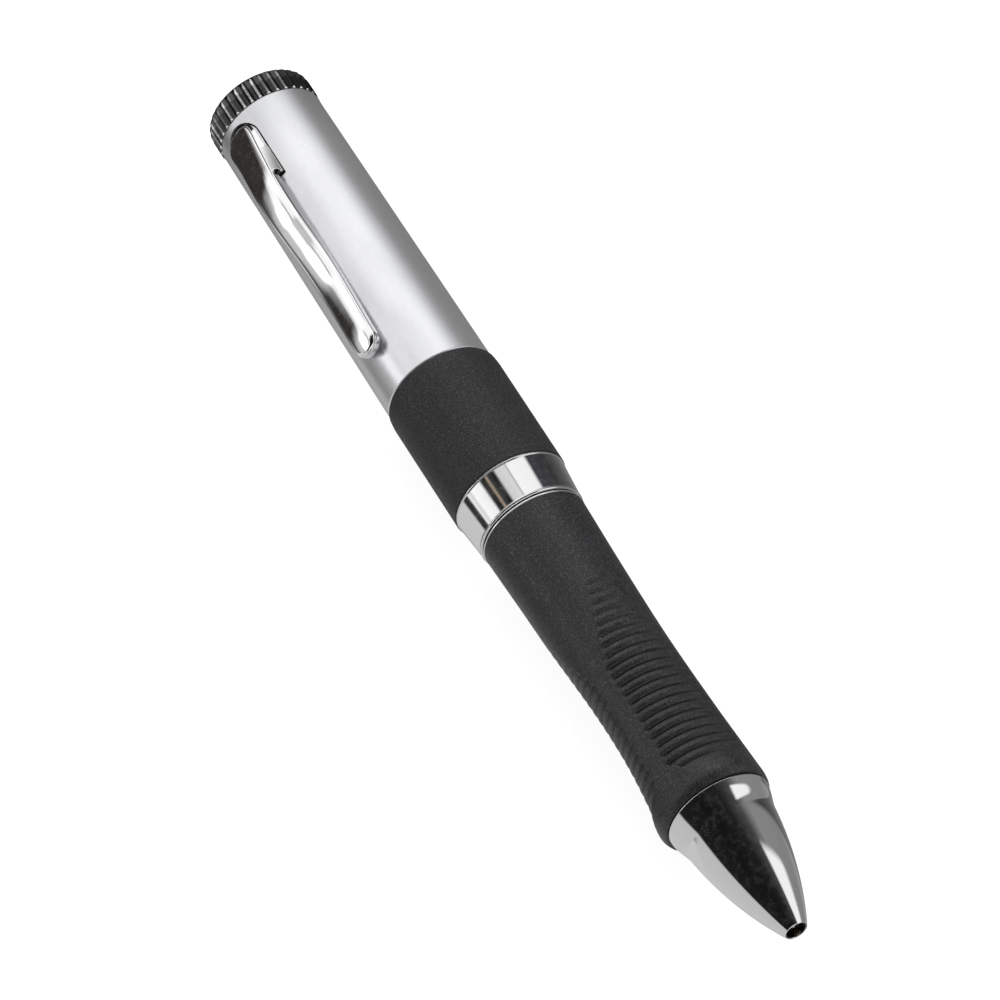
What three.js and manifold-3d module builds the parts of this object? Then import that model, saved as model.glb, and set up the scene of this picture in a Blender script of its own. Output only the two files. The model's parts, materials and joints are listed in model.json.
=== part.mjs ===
// Twist-action ballpoint pen with a USB flash drive under its pull-off cap.
// The pen lies on its side. Its axis runs along X with the writing tip towards +X, and +Z is up.
// Stations are distances along the pen from the flat end of the finial, in millimetres.
// A roll angle is measured about the axis from +Z towards -Y.
import * as THREE from "three";
import { mergeVertices } from "three/addons/utils/BufferGeometryUtils.js";
import Module from "manifold-3d";

const wasm = await Module();
wasm.setup();

// Fits between pieces
const GLUE_GAP = 0.1; // all round a piece pressed or glued into another
const RUN_GAP = 0.15; // all round a piece that slides or turns in another
const SEAM = 0.05; // between end faces that butt
const CAP_SEAM = 0.1; // between the cap's mouth and the collar
const TWIST_SEAM = 0.2; // between the band and the part that twists

// Fluted finial at the cap's end
const FINIAL_LENGTH = 3.84;
const FINIAL_RADIUS = 7.1;
const FINIAL_EDGE = 0.9; // rounding of the outer edge
const FINIAL_BEVEL = 0.3; // bevel against the tube
const FINIAL_SPIGOT = 0.8; // length that centres it in the tube
const FLUTE_COUNT = 36;
const FLUTE_RADIUS = 0.42;
const FLUTE_DEPTH = 0.32;
const STUD_RADIUS = 2.4;
const STUD_LENGTH = 7;

// Cap tube
const TUBE_LENGTH = 46.4;
const TUBE_RADIUS_END = 6.96;
const TUBE_RADIUS_MOUTH = 7.29;
const TUBE_WALL = 0.6;

// Pocket clip and the insert that carries it
const CLIP_ROLL = 54; // degrees
const CLIP_INSET = 1.2; // from the tube's end to the clip's root
const CLIP_LENGTH = 39.5;
const CLIP_ROOT_LENGTH = 10; // stretch whose cheeks pass through the tube
const CLIP_HALF_ROOT = 2.7; // half width where the cheeks pass the tube
const CLIP_HALF_SHOULDER = 2.3; // half width of the crown at the shoulder
const CLIP_HALF_TIP = 1.95; // half width of the crown near its free end
const CLIP_SHEET = 0.5; // sheet thickness
const CLIP_SHOULDER_RISE = 1.45; // crown edge above the tube, at its crest
const CLIP_DIP_RISE = 0.75; // the same where the clip dips to grip the cloth
const CLIP_FLARE_RISE = 1.4; // the same near the free end
const CLIP_CROWN = 0.45; // height of the crown's arch above its edges
const CLIP_WALL = 0.8; // depth of the turned-down edges
const CLIP_CHEEK_FLOOR = 3.3; // radius that the cheeks reach down to
const CLIP_ARCH = 2.6; // length of the rounded root
const CLIP_NOSE = 1.3; // length of the rounded free end
const CLIP_NOTCH_RADIUS = 0.42; // round notch that ends each cheek
const CLIP_NOTCH_RISE = 0.5; // from the tube up to the notch's middle
const WINDOW_GAP = 0.28; // gap between the clip and the window in the tube
const CLIP_PIN_INSET = 3.3; // from the clip's root to its cross pin
const CLIP_PIN_HEIGHT = 4.25; // radius at which the cross pin lies
const CLIP_PIN_RADIUS = 0.6;
const CLIP_PIN_HALF = 3.75; // half length of the cross pin
const INSERT_LENGTH = 9.6;
const INSERT_POCKET_FLOOR = 2.95;
const INSERT_POCKET_GAP = 0.5; // between the cheeks and the pocket's walls

// Collar, core and chrome band in the middle
const COLLAR_LENGTH = 17.94;
const COLLAR_RADIUS = 7.6;
const COLLAR_EDGE_AXIAL = 1.1;
const COLLAR_EDGE_RADIAL = 0.32;
const CORE_RADIUS = 6.5;
const CORE_BORE = 5.8;
const CORE_SETBACK = 1.2; // the holder's shoulder in front of the core
const CORE_SHY = 0.6; // the core ends this far short of the band's edge
const CORE_LIP = 1.2; // thickness of the inward lip at the twist end
const CORE_LIP_BORE = 4.4;
const BAND_LENGTH = 5.76;
const BAND_RADIUS_COLLAR = 7.45;
const BAND_RADIUS_GRIP = 6.97;
const BAND_BEVEL = 0.4;

// USB plug and its board
const NECK_LENGTH = 4.5; // holder's neck inside the cap's mouth
const PLUG_EXPOSED = 18.75;
const PLUG_WIDTH = 12;
const PLUG_HEIGHT = 4.5;
const PLUG_CORNER = 0.7;
const PLUG_WALL = 0.3;
const PLUG_SEAT = 2.5; // depth of the plug's rear end in the holder
const LATCH_WIDTH = 2.3;
const LATCH_LENGTH = 2;
const LATCH_SETBACK = 4.2; // from the plug's end to the latch holes
const LATCH_OFFSET = 2.9;
const TONGUE_SETBACK = 0.7;
const TONGUE_LENGTH = 17.2;
const TONGUE_HEIGHT = 1.85;
const CONTACT_WIDTH = 1.1;
const CONTACT_THICK = 0.15;
const CONTACT_SETBACK = 1;
const POWER_CONTACT = { length: 7.4, offset: 3.5 };
const DATA_CONTACT = { length: 6.4, offset: 1 };
const BOARD_LENGTH = 15.8;
const BOARD_WIDTH = 9.6;
const BOARD_THICK = 0.8;
const MEMORY_CHIP = { length: 8, width: 7.2, height: 1, setback: 4.2 };
const CONTROLLER_CHIP = { length: 5, width: 5, height: 0.9, setback: 5 };
const CRYSTAL_CAN = { length: 2.2, width: 4.6, height: 1, setback: 11.8 };
const HOLDER_TAIL = 4.6; // length of the holder inside the core
const HOLDER_SLOT_HEIGHT = 3.3;
const SEAL_CORD = 0.35; // cord radius of the ring that grips the cap
const SEAL_SETBACK = 0.9; // from the cap's mouth to the ring's middle

// Twist mechanism
const PIN_SETBACK = 6; // from the band's edge back to the follower pin, pen retracted
const REFILL_TRAVEL = 5.2;
const TWIST_RANGE = Math.PI;
const FOLLOWER_RADIUS = 0.6;
const FOLLOWER_HALF = 3.4;
const SLOT_SIDE_GAP = 0.15;
const GUIDE_BORE = 2.05;
const GUIDE_RADIUS = 2.6;
const GUIDE_FLANGE = 2; // thickness of the flange pressed into the core
const GUIDE_LENGTH = 20.5;
const GUIDE_LEAD = 6.5; // from the guide's flange to the follower pin
const CAM_RADIUS = 3.6;
const CAM_LEAD = 2; // sleeve length behind the follower pin
const CAM_LENGTH = 16.2;
const CAM_FLANGE_RADIUS = 5.6;
const CAM_FLANGE = 1.2;
const FRICTION_CORD = 0.6;

// Refill
const REFILL_RADIUS = 1.175;
const REFILL_LENGTH = 67; // standard metal refill: it sets how long the grip half is
const PIN_TO_REFILL = 2.4; // from the follower pin to the end of the refill
const REFILL_RETRACT = 2; // ball inside the nose's rim when retracted
const REFILL_TIP_LENGTH = 6;
const REFILL_CONE = 3.6;
const REFILL_CONE_END = 0.45;
const REFILL_SPIGOT = { length: 2.5, radius: 0.85, bore: 0.4 };
const REFILL_TUBE_BORE = 0.95;
const BALL_RADIUS = 0.35;
const CARRIER_RADIUS = 1.9;
const CARRIER_LENGTH = 9.8;
const CARRIER_LEAD = 1.8; // carrier behind the follower pin

// Front half
const RING_LENGTH = 0.25;
const RING_RADIUS = 6.93;
const BARREL_RADIUS = 5.1;
const BARREL_NECK = 4.25;
const BARREL_BORE = 3.9;
const BUSH_LENGTH = 9.2;
const BUSH_RADIUS = 4.4;
const BUSH_BORE = 3.75;

// Ribbed grip
const GRIP_REAR_RADIUS = 6.87;
const GRIP_WAIST_RADIUS = 6.4;
const GRIP_LIP_RADIUS = 7.06;
const GRIP_WAIST_AT = 22.5; // from the grip's rear end
const GRIP_LIP_AT = 44.8;
const GRIP_END_RADIUS = 6.8;
const GRIP_ROLL = -6; // roll angle of the first ribbed panel, in degrees
const PANEL_COUNT = 3;
const PANEL_START = 14; // from the grip's rear end
const RIB_COUNT = 21;
const RIB_PITCH = 1.4;
const RIB_DEPTH = 0.32;
const PANEL_HALF_ANGLE = 50; // degrees
const PANEL_SCOOP = 0.58;
const LIP_BULGE = 0.36; // extra height of the lip in front of each panel
const LIP_BULGE_LENGTH = 6;

// Nose
const NOSE_LENGTH = 18.85;
const NOSE_FLANGE_RADIUS = 6.65;
const NOSE_FLANGE = 1.55;
const NOSE_STEP = 0.75; // length of the fillet from the flange to the body
const NOSE_BODY_RADIUS = 6;
const NOSE_OGIVE = 48; // radius of the arc in the nose's outline
const NOSE_RIM_RADIUS = 1.48;
const NOSE_BORE = 1.3;
const NOSE_BORE_LENGTH = 4;
const NOSE_HOLLOW = 2.4;
const NOSE_THROAT = 5.5; // length of the taper inside
const NOSE_SPIGOT = 9;
const NOSE_SPIGOT_RADIUS = 3.6;

// Sides of the round pieces
const SIDES = 40;
const COLLAR_SIDES = 24; // the pen lies on one of these flats without rolling
const SMALL_SIDES = 24;
const PIN_SIDES = 12;

// Stations along the pen
const S_TUBE = FINIAL_LENGTH + SEAM;
const S_MOUTH = S_TUBE + TUBE_LENGTH;
const S_COLLAR = S_MOUTH + CAP_SEAM;
const S_BAND = S_COLLAR + COLLAR_LENGTH + SEAM;
const S_BAND_END = S_BAND + BAND_LENGTH;
const S_RING = S_BAND_END + TWIST_SEAM;
const S_GRIP = S_RING + RING_LENGTH + SEAM;
const S_FOLLOWER = S_BAND_END - PIN_SETBACK;
const S_REFILL = S_FOLLOWER + PIN_TO_REFILL;
const S_TIP = S_REFILL + REFILL_LENGTH + REFILL_RETRACT;
const S_NOSE = S_TIP - NOSE_LENGTH;
const GRIP_LENGTH = S_NOSE - SEAM - S_GRIP;
const S_CLIP = S_TUBE + CLIP_INSET;
const S_NECK = S_MOUTH - NECK_LENGTH;
const S_PLUG = S_NECK - PLUG_EXPOSED;
const S_CORE = S_COLLAR + CORE_SETBACK;
const S_CORE_END = S_BAND_END - CORE_SHY;

const satinAluminium = new THREE.MeshStandardMaterial({ color: 0xc9cbd0, metalness: 0.9, roughness: 0.42 });
const chrome = new THREE.MeshStandardMaterial({ color: 0xdcdcde, metalness: 1, roughness: 0.06 });
const softTouch = new THREE.MeshStandardMaterial({ color: 0x2c2c2e, metalness: 0, roughness: 0.62 });
const gripRubber = new THREE.MeshStandardMaterial({ color: 0x262629, metalness: 0, roughness: 0.55 });
const blackPlastic = new THREE.MeshStandardMaterial({ color: 0x1b1b1d, metalness: 0, roughness: 0.45 });
const naturalPlastic = new THREE.MeshStandardMaterial({ color: 0xe6e2d6, metalness: 0, roughness: 0.4 });
const machinedAluminium = new THREE.MeshStandardMaterial({ color: 0xb9bbbe, metalness: 0.9, roughness: 0.35 });
const brass = new THREE.MeshStandardMaterial({ color: 0xc9a24e, metalness: 1, roughness: 0.3 });
const springSteel = new THREE.MeshStandardMaterial({ color: 0xa9acb0, metalness: 1, roughness: 0.3 });
const plugSteel = new THREE.MeshStandardMaterial({ color: 0xc6c8cb, metalness: 1, roughness: 0.25 });
const gold = new THREE.MeshStandardMaterial({ color: 0xe0b34a, metalness: 1, roughness: 0.25 });
const boardGreen = new THREE.MeshStandardMaterial({ color: 0x1d5a38, metalness: 0, roughness: 0.4 });
const chipBlack = new THREE.MeshStandardMaterial({ color: 0x17181a, metalness: 0, roughness: 0.5 });
const sealRubber = new THREE.MeshStandardMaterial({ color: 0x141414, metalness: 0, roughness: 0.7 });

const pen = new THREE.Group();

function place(name, geometry, material) {
  const mesh = new THREE.Mesh(geometry, material);
  mesh.name = name;
  pen.add(mesh);
  return mesh;
}

// Revolves a [station, radius] outline about the pen's axis. The outer surface runs towards the tip.
// An outline that starts and ends on the axis stays open, and any other closes on itself.
function revolve(outline, sides = SIDES) {
  const points = outline.map(([station, radius]) => new THREE.Vector2(radius, station));
  const onAxis = outline[0][1] === 0 && outline[outline.length - 1][1] === 0;
  if (!onAxis) points.push(points[0].clone());
  const geometry = new THREE.LatheGeometry(points, sides, Math.PI / sides);
  return geometry.rotateZ(-Math.PI / 2);
}

// Points of an elliptical arc in [station, radius], from one angle to another in quarter turns.
function arc(centre, semi, from, to, steps) {
  return Array.from({ length: steps + 1 }, (_, i) => {
    const angle = ((from + ((to - from) * i) / steps) * Math.PI) / 2;
    return [centre[0] + semi[0] * Math.cos(angle), centre[1] + semi[1] * Math.sin(angle)];
  });
}

// Joins equal rings of points by a skin. The rings follow one another to the right of their own direction.
// A loop closes on itself, and otherwise both ends get a cap.
function skin(rings, loop) {
  const count = rings[0].length;
  const positions = rings.flat().flatMap((point) => point.toArray());
  const index = [];
  const spans = loop ? rings.length : rings.length - 1;
  for (let i = 0; i < spans; i += 1) {
    const here = i * count;
    const next = ((i + 1) % rings.length) * count;
    for (let j = 0; j < count; j += 1) {
      const k = (j + 1) % count;
      index.push(here + j, next + k, next + j, here + j, here + k, next + k);
    }
  }
  if (!loop) {
    for (const [ring, start, turn] of [[rings[0], 0, 1], [rings[rings.length - 1], spans * count, -1]]) {
      const middle = ring.reduce((sum, point) => sum.add(point), new THREE.Vector3()).divideScalar(count);
      const hub = positions.length / 3;
      positions.push(...middle.toArray());
      for (let j = 0; j < count; j += 1) {
        const k = (j + 1) % count;
        index.push(hub, ...(turn > 0 ? [start + k, start + j] : [start + j, start + k]));
      }
    }
  }
  const geometry = new THREE.BufferGeometry();
  geometry.setAttribute("position", new THREE.Float32BufferAttribute(positions, 3));
  geometry.setIndex(index);
  geometry.computeVertexNormals();
  return geometry;
}

// Turns a closed geometry into a solid for cutting and joining.
function solid(geometry) {
  const bare = geometry.clone();
  bare.deleteAttribute("normal");
  bare.deleteAttribute("uv");
  const merged = mergeVertices(bare, 1e-4);
  const index = merged.index.array;
  const triangles = [];
  for (let i = 0; i < index.length; i += 3) {
    const [a, b, c] = [index[i], index[i + 1], index[i + 2]];
    if (a !== b && b !== c && c !== a) triangles.push(a, b, c);
  }
  const vertProperties = new Float32Array(merged.attributes.position.array);
  return new wasm.Manifold(new wasm.Mesh({ numProp: 3, vertProperties, triVerts: new Uint32Array(triangles) }));
}

function geometryOf(manifold) {
  const { vertProperties, triVerts } = manifold.getMesh();
  const geometry = new THREE.BufferGeometry();
  geometry.setAttribute("position", new THREE.BufferAttribute(vertProperties, 3));
  geometry.setIndex(new THREE.BufferAttribute(triVerts, 1));
  geometry.computeVertexNormals();
  return geometry;
}

function cut(geometry, ...cutters) {
  return geometryOf(cutters.reduce((body, cutter) => body.subtract(solid(cutter)), solid(geometry)));
}

// A block given by its lowest and highest corners.
function block(low, high) {
  const size = high.map((value, i) => value - low[i]);
  const geometry = new THREE.BoxGeometry(...size);
  return geometry.translate(...low.map((value, i) => value + size[i] / 2));
}

function rollBy(geometry, degrees) {
  return geometry.rotateX(THREE.MathUtils.degToRad(degrees));
}

// A round bar across the pen, along Y, at a station and a height above the axis.
function crossBar(station, height, radius, half) {
  return new THREE.CylinderGeometry(radius, radius, 2 * half, PIN_SIDES).translate(station, 0, height);
}

function tubeRadius(station) {
  const share = (station - S_TUBE) / TUBE_LENGTH;
  return TUBE_RADIUS_END + (TUBE_RADIUS_MOUTH - TUBE_RADIUS_END) * share;
}

function boreRadius(station) {
  return tubeRadius(station) - TUBE_WALL;
}

// Fluted finial: a turned head with straight flutes, a short spigot and a stud that screws into the insert.
function makeFinial() {
  const spigotEnd = S_TUBE + FINIAL_SPIGOT;
  const spigotRadius = boreRadius(S_TUBE) - GLUE_GAP;
  const head = revolve([
    [0, 0],
    ...arc([FINIAL_EDGE, FINIAL_RADIUS - FINIAL_EDGE], [FINIAL_EDGE, FINIAL_EDGE], 2, 1, 3),
    [FINIAL_LENGTH - FINIAL_BEVEL, FINIAL_RADIUS],
    [FINIAL_LENGTH, FINIAL_RADIUS - FINIAL_BEVEL],
    [FINIAL_LENGTH, spigotRadius],
    [spigotEnd, spigotRadius],
    [spigotEnd, STUD_RADIUS],
    [spigotEnd + STUD_LENGTH, STUD_RADIUS],
    [spigotEnd + STUD_LENGTH, 0],
  ], FLUTE_COUNT);
  const cutters = Array.from({ length: FLUTE_COUNT }, (_, i) => {
    const flute = new THREE.CylinderGeometry(FLUTE_RADIUS, FLUTE_RADIUS, FINIAL_LENGTH * 2, 6);
    flute.rotateZ(Math.PI / 2).translate(0, 0, FINIAL_RADIUS + FLUTE_RADIUS - FLUTE_DEPTH);
    return rollBy(flute, (360 / FLUTE_COUNT) * (i + 0.5));
  });
  place("knurled_finial", cut(head, ...cutters), chrome);
}

// Outline of the clip as seen from above it: half width at a station.
function clipHalfWidth(station, wide) {
  const fromRoot = station - S_CLIP;
  const fromTip = S_CLIP + CLIP_LENGTH - station;
  const share = fromRoot / CLIP_LENGTH;
  const half = wide + (CLIP_HALF_TIP - CLIP_HALF_SHOULDER) * share;
  const round = (distance, length) => {
    if (distance >= length) return 1;
    const left = 1 - Math.max(distance, 0) / length;
    return Math.sqrt(Math.max(1 - left * left, 0));
  };
  return half * Math.max(round(fromRoot, CLIP_ARCH), 0.12) * Math.max(round(fromTip, CLIP_NOSE), 0.3);
}

// Side view of the clip: rise of the crown's edge above the tube.
const clipRise = new THREE.SplineCurve([
  [0, -0.35],
  [CLIP_ARCH * 0.5, CLIP_SHOULDER_RISE * 0.22],
  [CLIP_ARCH * 1.5, CLIP_SHOULDER_RISE * 0.48],
  [CLIP_ROOT_LENGTH * 0.8, CLIP_SHOULDER_RISE * 0.79],
  [CLIP_LENGTH * 0.26, CLIP_SHOULDER_RISE * 0.94],
  [CLIP_LENGTH * 0.32, CLIP_SHOULDER_RISE],
  [CLIP_LENGTH * 0.45, CLIP_SHOULDER_RISE * 0.6 + CLIP_DIP_RISE * 0.4],
  [CLIP_LENGTH * 0.62, CLIP_DIP_RISE],
  [CLIP_LENGTH * 0.74, CLIP_DIP_RISE * 0.84 + CLIP_FLARE_RISE * 0.16],
  [CLIP_LENGTH * 0.85, CLIP_DIP_RISE * 0.42 + CLIP_FLARE_RISE * 0.58],
  [CLIP_LENGTH * 0.96, CLIP_FLARE_RISE],
  [CLIP_LENGTH, CLIP_FLARE_RISE * 0.8],
].map(([x, y]) => new THREE.Vector2(x, y)));

// Sections of the clip from root to tip, drawn in by an inset for the hollow under the sheet.
function clipSections(inset, floorDrop) {
  const rootEnd = CLIP_ROOT_LENGTH / CLIP_LENGTH;
  const steps = 22;
  const shares = Array.from({ length: steps + 1 }, (_, i) => i / steps);
  const profile = clipRise.getPoints(120);
  const riseAt = (distance) => {
    const i = profile.findIndex((point) => point.x >= distance - 1e-6);
    const b = profile[Math.max(i, 1)];
    const a = profile[Math.max(i, 1) - 1];
    return a.y + ((b.y - a.y) * (distance - a.x)) / (b.x - a.x);
  };
  const dense = [...shares, 0.008, 0.02, 0.04, 0.985, 0.993, rootEnd - 0.0005, rootEnd + 0.0005];
  const distances = dense.map((share) => share * CLIP_LENGTH).sort((a, b) => a - b)
    .filter((d, i, all) => i === 0 || d - all[i - 1] > 0.02);
  return distances.map((distance) => {
    const station = S_CLIP + inset + distance * (1 - (2 * inset) / CLIP_LENGTH);
    const along = station - S_CLIP;
    const edge = tubeRadius(station) + riseAt(along);
    const half = clipHalfWidth(station, CLIP_HALF_SHOULDER) - inset;
    const inRoot = along < CLIP_ROOT_LENGTH;
    const splay = inRoot ? clipHalfWidth(station, CLIP_HALF_ROOT) - inset : half;
    const floor = (inRoot ? CLIP_CHEEK_FLOOR : edge - CLIP_WALL) - floorDrop;
    const shoulder = inRoot ? Math.min(tubeRadius(station), edge) - 0.2 : edge - CLIP_WALL / 2;
    const waist = shoulder - inset;
    const narrow = Math.max(half, 0.05);
    const broad = Math.max(splay, 0.06);
    const side = [
      [broad, floor],
      [broad, waist],
      [narrow, edge - 0.15 - inset],
      [narrow * 0.93, edge + 0.06 - inset],
      [narrow * 0.55, edge + CLIP_CROWN * 0.72 - inset],
    ];
    const other = side.map(([v, z]) => [-v, z]).reverse();
    return [...side, [0, edge + CLIP_CROWN - inset], ...other]
      .map(([v, z]) => new THREE.Vector3(station, v, z));
  });
}

// Pocket clip: one pressed sheet with an arched crown, turned-down edges and two cheeks at its root.
function makeClip() {
  const outer = skin(clipSections(0, 0), false);
  const hollow = skin(clipSections(CLIP_SHEET, 1), false);
  const pinHole = crossBar(S_CLIP + CLIP_PIN_INSET, CLIP_PIN_HEIGHT, CLIP_PIN_RADIUS + RUN_GAP, CLIP_HALF_ROOT * 2);
  const rootEnd = S_CLIP + CLIP_ROOT_LENGTH;
  const notch = crossBar(rootEnd - CLIP_NOTCH_RADIUS / 4, tubeRadius(rootEnd) + CLIP_NOTCH_RISE,
    CLIP_NOTCH_RADIUS, CLIP_HALF_ROOT * 2);
  place("pocket_clip", rollBy(cut(outer, hollow, pinHole, notch), CLIP_ROLL), chrome);
}

// Slot with one round end, as long as the clip's root, standing up through the wall above the axis.
function rootPrism(gap, low, high) {
  const half = CLIP_HALF_ROOT + gap;
  const start = S_CLIP - gap;
  const end = S_CLIP + CLIP_ROOT_LENGTH + gap;
  const outline = new THREE.Shape();
  outline.moveTo(end, -half);
  outline.lineTo(end, half);
  outline.lineTo(start + CLIP_ARCH + gap, half);
  outline.absellipse(start + CLIP_ARCH + gap, 0, CLIP_ARCH + gap, half, Math.PI / 2, (3 * Math.PI) / 2, false);
  outline.closePath();
  return new THREE.ExtrudeGeometry(outline, { depth: high - low, bevelEnabled: false, curveSegments: 12 })
    .translate(0, 0, low);
}

// Cap tube: drawn aluminium with a slight taper and the window that the clip's root passes through.
function makeCapTube() {
  const lip = 0.15;
  const tube = revolve([
    [S_TUBE, boreRadius(S_TUBE)],
    [S_TUBE, tubeRadius(S_TUBE)],
    [S_MOUTH - lip, tubeRadius(S_MOUTH - lip)],
    [S_MOUTH, tubeRadius(S_MOUTH) - lip],
    [S_MOUTH, boreRadius(S_MOUTH)],
  ]);
  const window = rollBy(rootPrism(WINDOW_GAP, TUBE_RADIUS_END / 2, TUBE_RADIUS_MOUTH * 1.2), CLIP_ROLL);
  place("cap_tube", cut(tube, window), satinAluminium);
}

// Moulded insert: fills the tube's end, takes the finial's stud and holds the clip's cross pin.
function makeClipInsert() {
  const start = S_TUBE + FINIAL_SPIGOT + GLUE_GAP;
  const radius = boreRadius(S_TUBE) - GLUE_GAP;
  const studHole = STUD_RADIUS + GLUE_GAP;
  const body = revolve([
    [start, studHole],
    [start, radius],
    [start + INSERT_LENGTH, radius],
    [start + INSERT_LENGTH, 0],
    [S_TUBE + FINIAL_SPIGOT + STUD_LENGTH + GLUE_GAP, 0],
    [S_TUBE + FINIAL_SPIGOT + STUD_LENGTH + GLUE_GAP, studHole],
  ]);
  const pocket = rootPrism(INSERT_POCKET_GAP, INSERT_POCKET_FLOOR, TUBE_RADIUS_MOUTH);
  const pinHole = crossBar(S_CLIP + CLIP_PIN_INSET, CLIP_PIN_HEIGHT, CLIP_PIN_RADIUS + SEAM, radius);
  place("clip_insert", cut(body, rollBy(pocket, CLIP_ROLL), rollBy(pinHole, CLIP_ROLL)), blackPlastic);
  const pin = crossBar(S_CLIP + CLIP_PIN_INSET, CLIP_PIN_HEIGHT, CLIP_PIN_RADIUS, CLIP_PIN_HALF);
  place("clip_pin", rollBy(pin, CLIP_ROLL), springSteel);
}

// Middle of the pen: soft-touch collar and chrome band on a machined core.
function makeCollarAndCore() {
  const sleeveBore = CORE_RADIUS + GLUE_GAP;
  place("centre_collar", revolve([
    [S_COLLAR, sleeveBore],
    ...arc([S_COLLAR + COLLAR_EDGE_AXIAL, COLLAR_RADIUS - COLLAR_EDGE_RADIAL],
      [COLLAR_EDGE_AXIAL, COLLAR_EDGE_RADIAL], 2, 1, 4),
    [S_BAND - SEAM - BAND_BEVEL / 2, COLLAR_RADIUS],
    [S_BAND - SEAM, COLLAR_RADIUS - BAND_BEVEL / 4],
    [S_BAND - SEAM, sleeveBore],
  ], COLLAR_SIDES), softTouch);
  place("trim_band", revolve([
    [S_BAND, sleeveBore],
    [S_BAND, BAND_RADIUS_COLLAR],
    [S_BAND_END - BAND_BEVEL, BAND_RADIUS_GRIP],
    [S_BAND_END, BAND_RADIUS_GRIP - BAND_BEVEL / 2],
    [S_BAND_END, sleeveBore],
  ], COLLAR_SIDES), chrome);
  place("collar_core", revolve([
    [S_CORE, CORE_BORE],
    [S_CORE, CORE_RADIUS],
    [S_CORE_END, CORE_RADIUS],
    [S_CORE_END, CORE_LIP_BORE],
    [S_CORE_END - CORE_LIP, CORE_LIP_BORE],
    [S_CORE_END - CORE_LIP, CORE_BORE],
  ], COLLAR_SIDES), machinedAluminium);
}

// Rounded rectangle across the pen, wide along Y and high along Z, drawn out along the axis.
function roundedBar(start, length, width, height, corner, hole) {
  const outline = (target, w, h, r) => {
    target.moveTo(-h / 2 + r, -w / 2);
    target.lineTo(h / 2 - r, -w / 2);
    target.absarc(h / 2 - r, -w / 2 + r, r, -Math.PI / 2, 0, false);
    target.lineTo(h / 2, w / 2 - r);
    target.absarc(h / 2 - r, w / 2 - r, r, 0, Math.PI / 2, false);
    target.lineTo(-h / 2 + r, w / 2);
    target.absarc(-h / 2 + r, w / 2 - r, r, Math.PI / 2, Math.PI, false);
    target.lineTo(-h / 2, -w / 2 + r);
    target.absarc(-h / 2 + r, -w / 2 + r, r, Math.PI, (3 * Math.PI) / 2, false);
    return target;
  };
  const shape = outline(new THREE.Shape(), width, height, corner);
  if (hole) {
    shape.holes.push(outline(new THREE.Path(), width - 2 * hole, height - 2 * hole, corner - hole));
  }
  return new THREE.ExtrudeGeometry(shape, { depth: length, bevelEnabled: false, curveSegments: 3 })
    .rotateY(Math.PI / 2).translate(start, 0, 0);
}

// USB plug: folded steel shell with four latch holes, a moulded tongue and four gilt contacts.
function makePlug() {
  const shell = roundedBar(S_PLUG, PLUG_EXPOSED + PLUG_SEAT, PLUG_WIDTH, PLUG_HEIGHT, PLUG_CORNER, PLUG_WALL);
  const latches = [-1, 1].map((side) => {
    const middle = side * LATCH_OFFSET;
    const start = S_PLUG + LATCH_SETBACK;
    return block([start, middle - LATCH_WIDTH / 2, -PLUG_HEIGHT],
      [start + LATCH_LENGTH, middle + LATCH_WIDTH / 2, PLUG_HEIGHT]);
  });
  place("usb_shell", cut(shell, ...latches), plugSteel);

  const innerFloor = -PLUG_HEIGHT / 2 + PLUG_WALL + SEAM;
  const tongueTop = innerFloor + TONGUE_HEIGHT;
  const tongueHalf = PLUG_WIDTH / 2 - PLUG_WALL - PLUG_CORNER / 2;
  const tongueStart = S_PLUG + TONGUE_SETBACK;
  place("usb_tongue", block([tongueStart, -tongueHalf, innerFloor],
    [tongueStart + TONGUE_LENGTH, tongueHalf, tongueTop]), naturalPlastic);
  const contacts = [
    { ...POWER_CONTACT, side: -1 },
    { ...DATA_CONTACT, side: -1 },
    { ...DATA_CONTACT, side: 1 },
    { ...POWER_CONTACT, side: 1 },
  ];
  contacts.forEach(({ length, offset, side }, i) => {
    const middle = side * offset;
    const end = tongueStart + CONTACT_SETBACK + POWER_CONTACT.length;
    place(`usb_contact_${i + 1}`, block([end - length, middle - CONTACT_WIDTH / 2, tongueTop],
      [end, middle + CONTACT_WIDTH / 2, tongueTop + CONTACT_THICK]), gold);
  });
}

// Circuit board behind the plug, with the memory, the controller and the crystal.
function makeBoard() {
  const start = S_PLUG + TONGUE_SETBACK + TONGUE_LENGTH + SEAM;
  const half = BOARD_THICK / 2;
  place("circuit_board", block([start, -BOARD_WIDTH / 2, -half],
    [start + BOARD_LENGTH, BOARD_WIDTH / 2, half]), boardGreen);
  const mount = (name, part, side, material) => {
    const from = start + part.setback;
    const [low, high] = side > 0 ? [half, half + part.height] : [-half - part.height, -half];
    place(name, block([from, -part.width / 2, low], [from + part.length, part.width / 2, high]), material);
  };
  mount("memory_chip", MEMORY_CHIP, 1, chipBlack);
  mount("controller_chip", CONTROLLER_CHIP, -1, chipBlack);
  mount("crystal_can", CRYSTAL_CAN, -1, plugSteel);
}

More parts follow.
